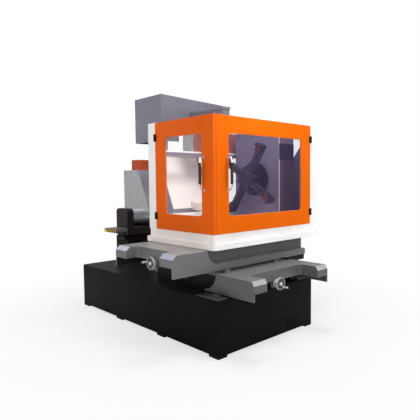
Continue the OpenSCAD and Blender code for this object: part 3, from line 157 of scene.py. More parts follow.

# %% [markdown]
# Sprayed enamel is never one flat colour. It has a faint orange-peel skin, a slow drift of tone
# over a large panel, and a pale line on each edge, partly thinned paint and partly a painted
# highlight. A Bevel node reads the edges, so the group works on any sharp casting without
# touching its mesh.

# %% Paint film group
GREY = (0.5, 0.5, 0.5, 1)
film, given, result = new_group(
    "paint_film",
    [("Paint", "color", GREY), ("Edge", "color", (0.8, 0.8, 0.8, 1)), ("Drift", "value", 0.06),
     ("Edge Wear", "value", 0.4), ("Peel", "value", 0.12), ("Gloss Low", "value", 0.3),
     ("Gloss High", "value", 0.42)],
    [("Color", "color"), ("Roughness", "value"), ("Normal", "vector")],
)
EDGE_RADIUS, PEEL_DEPTH, PEEL_SCALE = 0.0035, 0.0006, 260.0
SPECK = (0.02, 0.02, 0.02, 1)
place = own_place(film)
drift = noise(film, place, 1.9, 4.0)
low_drift = arithmetic(film, "SUBTRACT", 1.0, given["Drift"])
high_drift = arithmetic(film, "ADD", 1.0, given["Drift"])
shade = spread(film, drift, 0.32, 0.68, low_drift, high_drift)
painted = add(film, "ShaderNodeHueSaturation", Value=shade, Color=given["Paint"]).outputs[0]
speck = spread(film, noise(film, place, 170.0, 2.0), 0.66, 0.76, 0.0, 0.16)
painted = blend_color(film, speck, painted, SPECK)
rounded = add(film, "ShaderNodeBevel", {"samples": 6}, Radius=EDGE_RADIUS).outputs[0]
flat = add(film, "ShaderNodeNewGeometry").outputs["Normal"]
# The edge mask lays the Edge colour: ragged thinned paint together with a painted highlight.
edge = spread(film, dot(film, rounded, flat), 0.995, 0.86, 0.0, 1.0)
ragged = spread(film, noise(film, place, 45.0, 4.0, 0.7), 0.36, 0.62, 0.35, 1.0)
worn_and_highlit = arithmetic(film, "MULTIPLY", arithmetic(film, "MULTIPLY", edge, ragged), given["Edge Wear"], True)
peel = noise(film, place, PEEL_SCALE, 1.5)
bump = add(film, "ShaderNodeBump", Strength=given["Peel"], Distance=PEEL_DEPTH, Height=peel,
           Normal=rounded).outputs[0]
gloss = spread(film, noise(film, place, 9.0, 4.0), 0.3, 0.7, given["Gloss Low"], given["Gloss High"])
feed(film, result, Color=blend_color(film, worn_and_highlit, painted, given["Edge"]), Roughness=gloss, Normal=bump)
print("paint film:", len(film.nodes), "nodes")

# %% [markdown]
# Dust and dried slurry settle on faces that look up and run down in soft streaks. The group
# weighs the surface's own upward lean with two noises and lays a pale veil over any colour.

# %% Dust group
veil, given, result = new_group(
    "dust_veil",
    [("Color", "color", GREY), ("Dust", "color", (0.55, 0.53, 0.5, 1)), ("Amount", "value", 0.25)],
    [("Color", "color"), ("Mask", "value")],
)
place = own_place(veil)
normal = add(veil, "ShaderNodeNewGeometry").outputs["Normal"]
lean = add(veil, "ShaderNodeSeparateXYZ", Vector=normal).outputs[2]
upward = spread(veil, lean, 0.2, 0.95, 0.12, 1.0)
cloud = spread(veil, noise(veil, place, 5.5, 6.0, 0.65), 0.38, 0.7, 0.0, 1.0)
streak_place = add(veil, "ShaderNodeMapping", Vector=place, Scale=(26.0, 26.0, 1.3)).outputs[0]
streak = spread(veil, noise(veil, streak_place, 1.0, 3.0), 0.45, 0.75, 0.25, 1.0)
mask = arithmetic(veil, "MULTIPLY", arithmetic(veil, "MULTIPLY", upward, cloud), streak)
mask = arithmetic(veil, "MULTIPLY", mask, given["Amount"], True)
feed(veil, result, Color=blend_color(veil, mask, given["Color"], given["Dust"]), Mask=mask)
print("dust veil:", len(veil.nodes), "nodes")

# %% [markdown]
# A zone tints part of a finish. Most zones here are painted light and shade: black painted
# shade inside a skirt, a pale painted highlight on a chamfer, dark lilac painted shade on a front
# skin. A zone is a box in the shared frame together with the way its faces look. The
# group returns the tint inside that zone and the old colour everywhere else.

# %% Paint zone group
zone, given, result = new_group(
    "paint_zone",
    [("Color", "color", GREY), ("Tint", "color", GREY), ("Centre", "vector", (0.0, 0.0, 0.0)),
     ("Half", "vector", (9.0, 9.0, 9.0)), ("Facing", "vector", (0.0, 0.0, 1.0)), ("Limit", "value", 0.9)],
    [("Color", "color")],
)
place = own_place(zone)
off = add(zone, "ShaderNodeVectorMath", {"operation": "SUBTRACT"}, {0: place, 1: given["Centre"]}).outputs[0]
away = add(zone, "ShaderNodeVectorMath", {"operation": "ABSOLUTE"}, {0: off}).outputs[0]
over = add(zone, "ShaderNodeVectorMath", {"operation": "SUBTRACT"}, {0: away, 1: given["Half"]}).outputs[0]
axes = add(zone, "ShaderNodeSeparateXYZ", Vector=over).outputs
farthest = arithmetic(zone, "MAXIMUM", arithmetic(zone, "MAXIMUM", axes[0], axes[1]), axes[2])
inside = arithmetic(zone, "LESS_THAN", farthest, 0.0)
normal = add(zone, "ShaderNodeNewGeometry").outputs["Normal"]
turned = arithmetic(zone, "GREATER_THAN", dot(zone, normal, given["Facing"]), given["Limit"])
mask = arithmetic(zone, "MULTIPLY", inside, turned)
feed(zone, result, Color=blend_color(zone, mask, given["Color"], given["Tint"]))
print("paint zone:", len(zone.nodes), "nodes")

# %% [markdown]
# Turned, ground and brushed metal all show fine lines in one direction. Stretching a noise
# along that direction gives the lines; a slower noise stains them. The stretch is an input, so
# one group serves screws, ways, pulleys and handwheels.

# %% Metal grain group
grain, given, result = new_group(
    "metal_grain",
    [("Metal", "color", (0.6, 0.6, 0.6, 1)), ("Stain", "color", (0.3, 0.28, 0.25, 1)),
     ("Stretch", "vector", (400.0, 400.0, 12.0)), ("Stain Amount", "value", 0.25),
     ("Rough Low", "value", 0.22), ("Rough High", "value", 0.4), ("Depth", "value", 0.12)],
    [("Color", "color"), ("Roughness", "value"), ("Normal", "vector")],
)
GRAIN_EDGE, GRAIN_DEPTH = 0.0012, 0.0004
place = own_place(grain)
stretched = add(grain, "ShaderNodeMapping", Vector=place, Scale=given["Stretch"]).outputs[0]
lines = noise(grain, stretched, 1.0, 3.0)
patch = spread(grain, noise(grain, place, 14.0, 5.0, 0.65), 0.42, 0.72, 0.0, 1.0)
stained = arithmetic(grain, "MULTIPLY", patch, given["Stain Amount"], True)
shade = spread(grain, lines, 0.3, 0.7, 0.86, 1.1)
lit = add(grain, "ShaderNodeHueSaturation", Value=shade, Color=given["Metal"]).outputs[0]
rounded = add(grain, "ShaderNodeBevel", {"samples": 6}, Radius=GRAIN_EDGE).outputs[0]
bump = add(grain, "ShaderNodeBump", Strength=given["Depth"], Distance=GRAIN_DEPTH, Height=lines,
           Normal=rounded).outputs[0]
rough = spread(grain, lines, 0.3, 0.7, given["Rough Low"], given["Rough High"])
feed(grain, result, Color=blend_color(grain, stained, lit, given["Stain"]), Roughness=rough, Normal=bump)
print("metal grain:", len(grain.nodes), "nodes")

# %% [markdown]
# A finish is one of those groups with its own numbers and a Principled shader. Enamel gets a
# dust veil on top and, on the slide castings, a thin clear coat; most metals are fully
# metallic. Values that are the same all over sit on the shader itself.

# %% Finish makers


def new_finish(name):
    finish = bpy.data.materials.new(name)
    finish.use_nodes = True
    tree = finish.node_tree
    tree.nodes.clear()
    shader = tree.nodes.new("ShaderNodeBsdfPrincipled")
    out = tree.nodes.new("ShaderNodeOutputMaterial")
    tree.links.new(shader.outputs[0], out.inputs["Surface"])
    return finish, tree, shader


def place_group(tree, group, **inputs):
    return add(tree, "ShaderNodeGroup", {"node_tree": group}, **inputs).outputs


def solid(color):
    return (*color, 1.0)


def with_zones(tree, paint, zones):
    """The paint's colour after every zone, given as tint, (centre, half), facing and limit."""
    base = solid(paint)
    for tint, (centre, half), facing, limit in zones:
        base = place_group(tree, zone, Color=base, Tint=solid(tint), Centre=centre, Half=half,
                           Facing=facing, Limit=limit)["Color"]
    return base


SLURRY = (0.55, 0.53, 0.5)
DUST_ROUGHENS, COAT_ROUGH = 0.45, 0.18


def enamel(name, paint, edge=None, dust=0.2, coat=0.0, gloss=(0.3, 0.42), edge_wear_and_highlight=0.35, peel=0.12,
           drift=0.06, shine=0.3, zones=()):
    """Sprayed paint; edge is its colour on edges, partly thinned paint and partly a painted highlight."""
    finish, tree, shader = new_finish(name)
    edge = edge or tuple(min(1.0, c * 1.5 + 0.06) for c in paint)
    base = with_zones(tree, paint, zones)
    made = place_group(tree, film, Paint=base, Edge=solid(edge), Drift=drift, Edge_Wear=edge_wear_and_highlight,
                       Peel=peel, Gloss_Low=gloss[0], Gloss_High=gloss[1])
    dusted = place_group(tree, veil, Color=made["Color"], Dust=solid(SLURRY), Amount=dust)
    dull = arithmetic(tree, "MULTIPLY", dusted["Mask"], DUST_ROUGHENS)
    rough = arithmetic(tree, "ADD", made["Roughness"], dull, True)
    feed(tree, shader.inputs, Base_Color=dusted["Color"], Roughness=rough, Normal=made["Normal"])
    shader.inputs["Specular IOR Level"].default_value = shine
    shader.inputs["Coat Weight"].default_value = coat
    shader.inputs["Coat Roughness"].default_value = COAT_ROUGH
    return finish


def machined(name, metal, stretch, stain=(0.3, 0.28, 0.25), amount=0.25, rough=(0.22, 0.4),
             depth=0.12, metallic=1.0, zones=()):
    """Bare metal; stretch sets which way its fine lines run and how close they lie."""
    finish, tree, shader = new_finish(name)
    made = place_group(tree, grain, Metal=with_zones(tree, metal, zones), Stain=solid(stain),
                       Stretch=stretch, Stain_Amount=amount, Rough_Low=rough[0], Rough_High=rough[1],
                       Depth=depth)
    feed(tree, shader.inputs, Base_Color=made["Color"], Roughness=made["Roughness"], Normal=made["Normal"])
    shader.inputs["Metallic"].default_value = metallic
    return finish


print("finish makers ready")

# %% [markdown]
# A zone row names a tint, the way its faces look and a box, given as centre and half size in
# the shared frame. Rows without a direction tint every face in their box.

# %% Zone rows
EVERYWHERE = ((0, 0, 0), (9, 9, 9))
LEFT, FRONT, UP = (-1, 0, 0), (0, -1, 0), (0, 0, 1)
PEDESTAL = ((0.077, 1.15, 0.705), (0.335, 0.145, 0.183))
SADDLE_RECESS = ((0.1, -0.86, 0.858), (1, 0.02, 0.06))
SADDLE_INSIDE = ((-0.1, -0.02, 0.76), (1.2, 0.1, 0.066))
RIGHT_HEAD_POST = ((0.305, 0.425, 2.03), (0.06, 0.12, 0.125))
RIGHT_WALL = ((1.0, -0.3, 1.55), (0.05, 0.75, 0.45))
REAR_RAIL = ((0.1, -0.02, 1.859), (0.9, 0.08, 0.021))
TRAY_RIMS = ((0, 0, 0.99), (2, 2, 0.089))
CASE_TOP = ((0.7, 0, 2.06), (0.3, 1, 0.092))
CASE_EDGE = ((0.589, 0, 1.5), (0.0075, 1, 1))
PLATE_END = ((-0.35, 1, 0.955), (0.092, 1, 0.025))
SHAFT_END = ((-0.254, 1.15, 1.114), (0.06, 0.035, 0.035))
FRONT_WEB, FRONT_HUB = ((0, -1.244, 0.5), (9, 0.003, 9)), ((-0.0015, -1.25, 0.584), (0.012, 0.01, 0.012))
SIDE_WEB, SIDE_HUB = ((-0.943, 0, 0.5), (0.003, 9, 9)), ((-0.95, -0.46, 0.804), (0.01, 0.012, 0.012))


def tinted(tint, facing=None, box=EVERYWHERE, limit=0.9):
    return (tint, box, facing, limit) if facing else (tint, box, (0, 0, 0), -1)


def wheel_zones(facing, web, hub):
    """A handwheel's face: grey rim, a dark web that is painted shade in its recess, and a bright hub."""
    rows = (((0.2, 0.2, 0.205), EVERYWHERE), ((0.012, 0.012, 0.013), web), ((0.9, 0.9, 0.9), hub))
    return [tinted(tint, facing, box, 0.95) for tint, box in rows]


print("zone rows ready")

# %% [markdown]
# The bed and riser are semi-gloss black with a painted sheen on the bed's tops, and the pedestal a
# brown black; the slide castings are a mid grey with painted highlights on chamfers and tops and
# painted shade in recesses; column, hood and head lean to lilac. The
# enclosure is white, and its doors are a strong orange with a soft gloss.

# %% Paint finishes
SADDLE_CHAMFER, LOW_CHAMFER = (-0.645, 0, 0.764), (0, -0.842, 0.54)
LEAN_FRONT = (0, -1, 0.4)
CASTING = dict(edge=(0.5, 0.49, 0.56), shine=0.35, coat=0.15, edge_wear_and_highlight=0.45, peel=0.16, drift=0.08)
PAINTS = {
    "bed_black": dict(
        paint=(0.003, 0.003, 0.0033), edge=(0.03, 0.03, 0.032), dust=0.012, shine=0.05, edge_wear_and_highlight=0.45, drift=0.12,
        # Up-facing faces: a painted sheen, a lighter black. The pedestal box: brown-black paint.
        zones=[tinted((0.016, 0.016, 0.017), UP), tinted((0.013, 0.009, 0.007), box=PEDESTAL)]),
    "riser_black": dict(
        paint=(0.007, 0.007, 0.0075), edge=(0.05, 0.05, 0.055), dust=0.04, shine=0.12, gloss=(0.35, 0.45),
        drift=0.12),
    "foot_black": dict(paint=(0.006, 0.006, 0.006), dust=0.06, shine=0.1, gloss=(0.6, 0.75)),
    "plate_grey": dict(paint=(0.05, 0.05, 0.052), edge=(0.3, 0.3, 0.32), dust=0.1, gloss=(0.35, 0.5)),
    "casting_grey": dict(CASTING, paint=(0.14, 0.14, 0.144), dust=0.08, zones=[
        # Chamfers: a painted highlight in pale lilac grey.
        tinted((0.34, 0.345, 0.43), SADDLE_CHAMFER, limit=0.96),
        # Front faces of the recessed box: painted shade, a darker grey.
        tinted((0.075, 0.075, 0.078), FRONT, SADDLE_RECESS),
        # Inner faces of the skirt under the horn: painted shade, near black.
        tinted((0.012, 0.012, 0.013), FRONT, SADDLE_INSIDE),
        # Up-facing faces: painted light, a lighter grey.
        tinted((0.25, 0.25, 0.247), UP, limit=0.97),
    ]),
    "low_grey": dict(CASTING, paint=(0.095, 0.095, 0.098), dust=0.1, zones=[
        # Chamfers: a painted highlight in pale grey.
        tinted((0.42, 0.42, 0.43), LOW_CHAMFER, limit=0.96),
        # Up-facing faces: painted light, a lighter grey.
        tinted((0.18, 0.18, 0.18), UP, limit=0.97),
    ]),
    "column_lilac": dict(paint=(0.24, 0.235, 0.27), edge=(0.6, 0.58, 0.66), dust=0.12,
                         zones=[tinted((0.93, 0.92, 0.91), box=RIGHT_HEAD_POST)]),
    "panel_cream": dict(paint=(0.93, 0.87, 0.84), edge=(0.95, 0.93, 0.91), dust=0.04, gloss=(0.4, 0.5)),
    "housing_grey": dict(paint=(0.4, 0.4, 0.4), edge=(0.6, 0.6, 0.6), dust=0.12, gloss=(0.4, 0.55),
                         # Faces leaning to the front: painted shade, a dark lilac grey.
                         zones=[tinted((0.17, 0.16, 0.2), LEAN_FRONT, limit=0.7)]),
    "box_red": dict(paint=(0.42, 0.07, 0.022), edge=(0.6, 0.2, 0.1), dust=0.06, shine=0.15, gloss=(0.4, 0.5)),
    "hood_lilac": dict(
        paint=(0.2, 0.19, 0.235), edge=(0.62, 0.6, 0.68), dust=0.06, shine=0.2, gloss=(0.36, 0.5), edge_wear_and_highlight=0.5,
        # Front faces: painted shade, a darker lilac.
        peel=0.08, zones=[tinted((0.125, 0.12, 0.148), FRONT)]),
    "case_white": dict(
        paint=(0.93, 0.91, 0.89), edge=(0.97, 0.96, 0.95), dust=0.04, gloss=(0.28, 0.4),
        # Inside of the right wall: painted shade in dark lilac. Front of the rear rail: a painted shadow
        # line.
        zones=[tinted((0.12, 0.095, 0.14), LEFT, RIGHT_WALL), tinted((0.2, 0.185, 0.25), FRONT, REAR_RAIL),
               # Left faces of the tray rims: painted warm light, a brighter cream.
               tinted((0.98, 0.9, 0.83), LEFT, TRAY_RIMS)]),
    "door_orange": dict(paint=(0.8, 0.132, 0.0008), edge=(0.92, 0.26, 0.03), dust=0.01, shine=0.04,
                        gloss=(0.42, 0.55), edge_wear_and_highlight=0.25, drift=0.03),
    # The left door's copy of the door orange, slightly darker and redder: painted shade for its side.
    "door_orange_shaded": dict(paint=(0.8, 0.118, 0.003), edge=(0.92, 0.25, 0.05), dust=0.01, shine=0.08,
                             gloss=(0.42, 0.55), edge_wear_and_highlight=0.25, drift=0.04),
    "head_lilac": dict(
        paint=(0.178, 0.162, 0.25), edge=(0.5, 0.48, 0.58), dust=0.05, gloss=(0.4, 0.5),
        # Front faces: painted shade, a dark plum. Their top band: painted light, a paler lilac.
        zones=[tinted((0.085, 0.06, 0.082), FRONT), tinted((0.16, 0.15, 0.22), FRONT, CASE_TOP),
               # A thin strip at the front-left corner: a painted highlight.
               tinted((0.75, 0.7, 0.85), FRONT, CASE_EDGE)]),
    "hatch_plum": dict(paint=(0.013, 0.007, 0.026), edge=(0.2, 0.18, 0.26), dust=0.03, gloss=(0.35, 0.45)),
    # The rear panel's orange darkened to a dull red: painted shade.
    "rear_orange_shaded": dict(paint=(0.36, 0.1, 0.08), edge=(0.5, 0.2, 0.16), dust=0.04, shine=0.15),
    "arm_plum": dict(paint=(0.024, 0.017, 0.03), edge=(0.2, 0.17, 0.23), dust=0.03, gloss=(0.35, 0.5)),
    "carriage_brown": dict(paint=(0.03, 0.02, 0.015), edge=(0.12, 0.09, 0.08), dust=0.1, shine=0.2,
                           gloss=(0.3, 0.4), zones=[tinted((0.2, 0.165, 0.155), box=PLATE_END)]),
    "motor_grey": dict(paint=(0.05, 0.05, 0.054), edge=(0.16, 0.16, 0.17), dust=0.15, gloss=(0.4, 0.5)),
    "hinge_black": dict(paint=(0.006, 0.006, 0.0065), dust=0.03, shine=0.2, gloss=(0.3, 0.4)),
    "stripe_yellow": dict(paint=(0.7, 0.4, 0.01), dust=0.1, shine=0.15, gloss=(0.45, 0.6)),
}
FINISH = {name: enamel(name, **look) for name, look in PAINTS.items()}
print("paints:", len(FINISH))

# %% [markdown]
# Metals differ in colour and in the way their lines run: along the ways, round the drum and
# the pulleys, and with no direction on cast or polished pieces.

# %% Metal finishes
WHEEL = dict(metal=(0.86, 0.86, 0.87), stretch=(30.0,) * 3, amount=0.08, rough=(0.14, 0.26), metallic=0.35)
METALS = {
    "way_steel": dict(metal=(0.5, 0.5, 0.52), stretch=(300.0, 12.0, 300.0), amount=0.3),
    "screw_steel": dict(metal=(0.42, 0.42, 0.44), stretch=(40.0,) * 3, amount=0.4),
    "bolt_black": dict(metal=(0.09, 0.09, 0.095), stretch=(60.0,) * 3, rough=(0.3, 0.5)),
    "chuck_iron": dict(metal=(0.05, 0.04, 0.065), stretch=(6.0, 160.0, 160.0), stain=(0.05, 0.04, 0.06),
                       amount=0.5),
    "jaw_steel": dict(metal=(0.04, 0.035, 0.05), stretch=(50.0,) * 3, stain=(0.2, 0.1, 0.08), amount=0.3,
                      zones=[tinted((0.22, 0.07, 0.048), LEFT)]),
    "wheel_front": dict(WHEEL, zones=wheel_zones(FRONT, FRONT_WEB, FRONT_HUB)),
    "wheel_side": dict(WHEEL, zones=wheel_zones(LEFT, SIDE_WEB, SIDE_HUB)),
    "bow_chrome": dict(metal=(0.84, 0.84, 0.86), stretch=(20.0,) * 3, amount=0.03, rough=(0.05, 0.12),
                       depth=0.02),
    "drum_wound": dict(metal=(0.75, 0.76, 0.77), stretch=(700.0, 8.0, 8.0), stain=(0.1, 0.1, 0.1), amount=0.3,
                       rough=(0.3, 0.45), depth=0.3, metallic=0.8,
                       zones=[tinted((0.015, 0.014, 0.014), LEFT, SHAFT_END)]),
    "pulley_steel": dict(metal=(0.6, 0.61, 0.62), stretch=(200.0, 10.0, 10.0)),
    "wire_steel": dict(metal=(0.5, 0.5, 0.52), stretch=(200.0,) * 3, amount=0.1),
    "nut_bronze": dict(metal=(0.5, 0.33, 0.13), stretch=(60.0,) * 3),
    "spindle_grey": dict(metal=(0.3, 0.29, 0.34), stretch=(12.0, 160.0, 160.0), amount=0.3),
}
FINISH.update((name, machined(name, **look)) for name, look in METALS.items())
print("paints and metals:", len(FINISH))

# %% [markdown]
# Rubber and the panes need other shaders. Rubber is rough with a fine dimple. The panes are
# clear sheet with a lilac cast: a low alpha keeps what stands behind them sharp, lets light
# reach the tray, and still leaves a full gloss on the surface.

# %% Rubber and panes
DIMPLE_DEPTH, ROUGH_SWING = 0.0005, 0.1
HAZE_LIFT, SMEAR_ROUGH, SMEAR_ALPHA = 1.6, (0.03, 0.16), 0.04


def rubber(name, color, rough=0.6):
    finish, tree, shader = new_finish(name)
    place = own_place(tree)
    cloud = noise(tree, place, 12.0, 4.0)
    dark, pale = solid(color), solid(tuple(c * 1.7 + 0.004 for c in color))
    tone = blend_color(tree, spread(tree, cloud, 0.35, 0.7, 0.0, 1.0), dark, pale)
    dull = spread(tree, cloud, 0.3, 0.7, rough - ROUGH_SWING, rough + ROUGH_SWING)
    dimple = noise(tree, place, 700.0, 1.0)
    bump = add(tree, "ShaderNodeBump", Strength=0.3, Distance=DIMPLE_DEPTH, Height=dimple).outputs[0]
    feed(tree, shader.inputs, Base_Color=tone, Roughness=dull, Normal=bump)
    return finish


def pane(name, color, alpha):
    finish, tree, shader = new_finish(name)
    place = own_place(tree)
    haze = spread(tree, noise(tree, place, 2.4, 5.0, 0.6), 0.35, 0.75, 0.0, 1.0)
    tone = blend_color(tree, haze, solid(color), solid(tuple(c * HAZE_LIFT for c in color)))
    smear_place = add(tree, "ShaderNodeMapping", Vector=place, Scale=(9.0, 9.0, 1.4)).outputs[0]
    smear = spread(tree, noise(tree, smear_place, 1.0, 4.0), 0.5, 0.8, 0.0, 1.0)
    dull = spread(tree, smear, 0.0, 1.0, *SMEAR_ROUGH)
    cover = spread(tree, smear, 0.0, 1.0, alpha, alpha + SMEAR_ALPHA)
    feed(tree, shader.inputs, Base_Color=tone, Roughness=dull, Alpha=cover)
    shader.inputs["Specular IOR Level"].default_value = 0.4
    return finish


FINISH.update({
    "grip_rubber": rubber("grip_rubber", (0.008, 0.008, 0.0085)),
    "trim_clear": rubber("trim_clear", (0.5, 0.16, 0.06), 0.45),
    "gland_black": rubber("gland_black", (0.01, 0.01, 0.011)),
    "pane_left": pane("pane_left", (0.7, 0.66, 0.7), 0.05),
    "pane_front": pane("pane_front", (0.085, 0.065, 0.15), 0.12),
})
print("finishes:", len(FINISH))

# %% [markdown]
# Each CAD node takes one finish. Only the object's material slots change; the meshes are the
# machine's real shapes and stay as they came.

# %% Dress the CAD nodes
DRESS = {
    "bed_black": ["bed", "drum_pedestal"],
    "riser_black": ["riser_frame", "end_guard"],
    "foot_black": ["bed_feet"],
    "plate_grey": ["corner_plate", "table_base"],
    "casting_grey": ["saddle_casting", "y_bearings", "x_bearings"],
    "low_grey": ["lower_casting"],
    "column_lilac": ["column"],
    "panel_cream": ["column_panel", "lower_arm"],
    "housing_grey": ["side_housings"],
    "box_red": ["side_box"],
    "hood_lilac": ["hood", "upper_arm"],
    "case_white": ["tray", "enclosure_frame"],
    "door_orange": ["front_door"],
    "rear_orange_shaded": ["rear_panel"],
    "door_orange_shaded": ["left_door"],
    "head_lilac": ["headstock_case"],
    "hatch_plum": ["headstock_hatch"],
    "arm_plum": ["chuck_arms"],
    "carriage_brown": ["drum_carriage"],
    "motor_grey": ["drum_motor"],
    "hinge_black": ["hinge_leaves", "left_knuckles", "front_knuckles"],
    "way_steel": ["y_ways", "x_ways"],
    "screw_steel": ["y_screw", "x_screw", "pulley_axles"],
    "bolt_black": ["casting_bolts"],
    "chuck_iron": ["chuck_hub"],
    "jaw_steel": ["jaw_1", "jaw_2", "jaw_3", "jaw_4"],
    "wheel_front": ["y_handwheel"],
    "wheel_side": ["x_handwheel"],
    "bow_chrome": ["left_bow", "front_bow"],
    "drum_wound": ["drum"],
    "pulley_steel": ["upper_rear_pulley", "upper_tip_pulley", "lower_tip_pulley", "lower_rear_pulley"],
    "wire_steel": ["cutting_wire"],
    "nut_bronze": ["y_nut", "x_nut"],
    "spindle_grey": ["spindle_housing"],
    "grip_rubber": ["left_grip", "front_grip"],
    "gland_black": ["power_gland"],
    "pane_left": ["left_window"],
    "pane_front": ["front_window"],
}
for finish, names in DRESS.items():
    for name in names:
        cad[name].data.materials.clear()
        cad[name].data.materials.append(FINISH[finish])
undressed = sorted(set(cad) - {name for names in DRESS.values() for name in names})
print("dressed", len(cad) - len(undressed), "nodes, left:", undressed)

# %% [markdown]
# Screws, fins and windings repeat along a line or round an axis. One Geometry Nodes tree does
# the line: a mesh line gives the places, a small profile stands on each, and the instances are
# made real because the export drops instances.

# %% Geometry Nodes helpers


def new_tree(name, **inputs):
    tree = bpy.data.node_groups.new(name, "GeometryNodeTree")
    tree.interface.new_socket(name="Geometry", in_out="OUTPUT", socket_type="NodeSocketGeometry")
    for key, kind in inputs.items():
        label = key.replace("_", " ")
        tree.interface.new_socket(name=label, in_out="INPUT", socket_type=SOCKET_KINDS[kind])
    return tree, tree.nodes.new("NodeGroupInput").outputs, tree.nodes.new("NodeGroupOutput").inputs


def point_line(tree, given):
    """Count points from Start on, one Step apart."""
    return add(tree, "GeometryNodeMeshLine", {"mode": "OFFSET"}, Count=given["Count"],
               Start_Location=given["Start"], Offset=given["Step"]).outputs[0]


def point_ring(tree, given):
    """Count points round a level circle of the Ring Radius."""
    circle = add(tree, "GeometryNodeMeshCircle", Vertices=given["Count"], Radius=given["Ring Radius"])
    return circle.outputs[0]


def stand(tree, points, piece, **how):
    """The piece on each point, as real faces."""
    stood = add(tree, "GeometryNodeInstanceOnPoints", Points=points, Instance=piece, **how).outputs[0]
    return add(tree, "GeometryNodeRealizeInstances", at={0: stood}).outputs[0]


def move(tree, geometry, **how):
    return add(tree, "GeometryNodeTransform", at={0: geometry}, **how).outputs[0]


def finish_tree(tree, geometry, finish_socket, out):
    coated = add(tree, "GeometryNodeSetMaterial", at={0: geometry, 2: finish_socket}).outputs[0]
    tree.links.new(coated, out[0])


def grow(name, tree, **values):
    """A plain mesh of what the tree makes with these named inputs."""
    holder = new_object(name, bpy.data.meshes.new(name))
    modifier = holder.modifiers.new("grow", "NODES")
    modifier.node_group = tree
    named = {item.name: item.identifier for item in tree.interface.items_tree if item.in_out == "INPUT"}
    for key, value in values.items():
        modifier[named[key.replace("_", " ")]] = value
    holder.update_tag()
    depsgraph = bpy.context.evaluated_depsgraph_get()
    mesh = bpy.data.meshes.new_from_object(holder.evaluated_get(depsgraph), depsgraph=depsgraph)
    bpy.data.objects.remove(holder)
    mesh.name = name
    return mesh


print("tree helpers ready")

# %% Seat meshes on a body


def seat(name, meshes, body):
    """One object made of these meshes, riding on a body of the frame."""
    gathered = bmesh.new()
    finishes = []
    for mesh in meshes:
        first = len(gathered.faces)
        gathered.from_mesh(mesh)
        gathered.faces.ensure_lookup_table()
        for face in gathered.faces[first:]:
            finish = mesh.materials[face.material_index] if mesh.materials else None
            if finish not in finishes:
                finishes.append(finish)
            face.material_index = finishes.index(finish)
    whole = bpy.data.meshes.new(name)
    gathered.to_mesh(whole)
    gathered.free()
    for finish in finishes:
        whole.materials.append(finish)
    piece = new_object(name, whole)
    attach(piece, body)


print("seat helper ready")

# %% Screw line tree
SOCKET_SHARE = 0.45  # of the head's radius
screw_tree, given, out = new_tree(
    "screw_line", Count="number", Start="vector", Step="vector", Turn="vector", Radius="value",
    Height="value", Finish="finish")
head_top = arithmetic(screw_tree, "MULTIPLY", given["Radius"], 0.78)
head = add(screw_tree, "GeometryNodeMeshCone", Vertices=16, Radius_Bottom=given["Radius"],
           Radius_Top=head_top, Depth=given["Height"]).outputs[0]
drive_radius = arithmetic(screw_tree, "MULTIPLY", given["Radius"], SOCKET_SHARE)
drive = add(screw_tree, "GeometryNodeMeshCone", Vertices=6, Radius_Bottom=drive_radius,
            Radius_Top=arithmetic(screw_tree, "MULTIPLY", drive_radius, 0.9),
            Depth=arithmetic(screw_tree, "MULTIPLY", given["Height"], 1.35)).outputs[0]
both = add(screw_tree, "GeometryNodeJoinGeometry")
screw_tree.links.new(head, both.inputs[0])
screw_tree.links.new(drive, both.inputs[0])
turned = add(screw_tree, "FunctionNodeEulerToRotation", at={0: given["Turn"]}).outputs[0]
stood = stand(screw_tree, point_line(screw_tree, given), both.outputs[0], Rotation=turned)
finish_tree(screw_tree, stood, given["Finish"], out)

FACE_TURN = {"-x": (0, -math.pi / 2, 0), "+x": (0, math.pi / 2, 0), "-y": (math.pi / 2, 0, 0),
             "+y": (-math.pi / 2, 0, 0), "+z": (0, 0, 0)}


def screws(count, start, step, face, radius=0.006, height=0.004):
    """A line of screw heads on a face that looks along the named axis."""
    return grow("screws", screw_tree, Count=count, Start=start, Step=step, Turn=FACE_TURN[face],
                Radius=radius, Height=height, Finish=FINISH["bolt_black"])


print("screw line tree:", len(screw_tree.nodes), "nodes")

# %% [markdown]
# Screws on the fixed sheets: lines of small heads run along the hood's seams, the housings'
# lids and both edges of the upper arm's top.

# %% Screws on the fixed frame
hood_low, hood_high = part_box("hood")
house_low, house_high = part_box("side_housings")
arm_low, arm_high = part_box("upper_arm")
HOOD_INSET, HOOD_TOP, HOOD_SIDE_TOP, HOOD_FOOT = 0.022, 0.06, 0.05, 0.03
LID_INSET, LID_START, ARM_INSET, ARM_START = 0.025, 0.27, 0.012, 0.03
hood_x, hood_y = hood_low.x + HOOD_INSET, hood_low.y + HOOD_INSET
hood_top, hood_foot = hood_high.z - HOOD_TOP, hood_low.z + HOOD_FOOT
fixed = [
    screws(2, (hood_x, hood_low.y, hood_top), (0.2, 0, 0), "-y"),
    screws(2, (hood_x, hood_low.y, hood_foot), (0.2, 0, 0), "-y"),
    screws(4, (hood_low.x, hood_y, hood_foot), (0, 0.155, 0), "-x"),
    screws(4, (hood_low.x, hood_y, hood_high.z - HOOD_SIDE_TOP), (0, 0.155, 0), "-x"),
    screws(6, (hood_x, hood_high.y, hood_top), (0.18, 0, 0), "+y"),
]
for x, face in ((house_low.x, "-x"), (house_high.x, "+x")):
    for height in (house_low.z + LID_INSET, house_high.z - LID_INSET):
        fixed.append(screws(3, (x, house_high.y - LID_START, height), (0, 0.12, 0), face))
for x in (arm_low.x + ARM_INSET, arm_high.x - ARM_INSET):
    fixed.append(screws(6, (x, arm_low.y + ARM_START, arm_high.z), (0, 0.16, 0), "+z"))
seat("frame_screws", fixed, "frame")
print("screw lines on the frame:", len(fixed))

# %% [markdown]
# Two small screws sit beside each hinge knuckle and turn with the door. The hatch and the
# head case have larger ones along their edges.

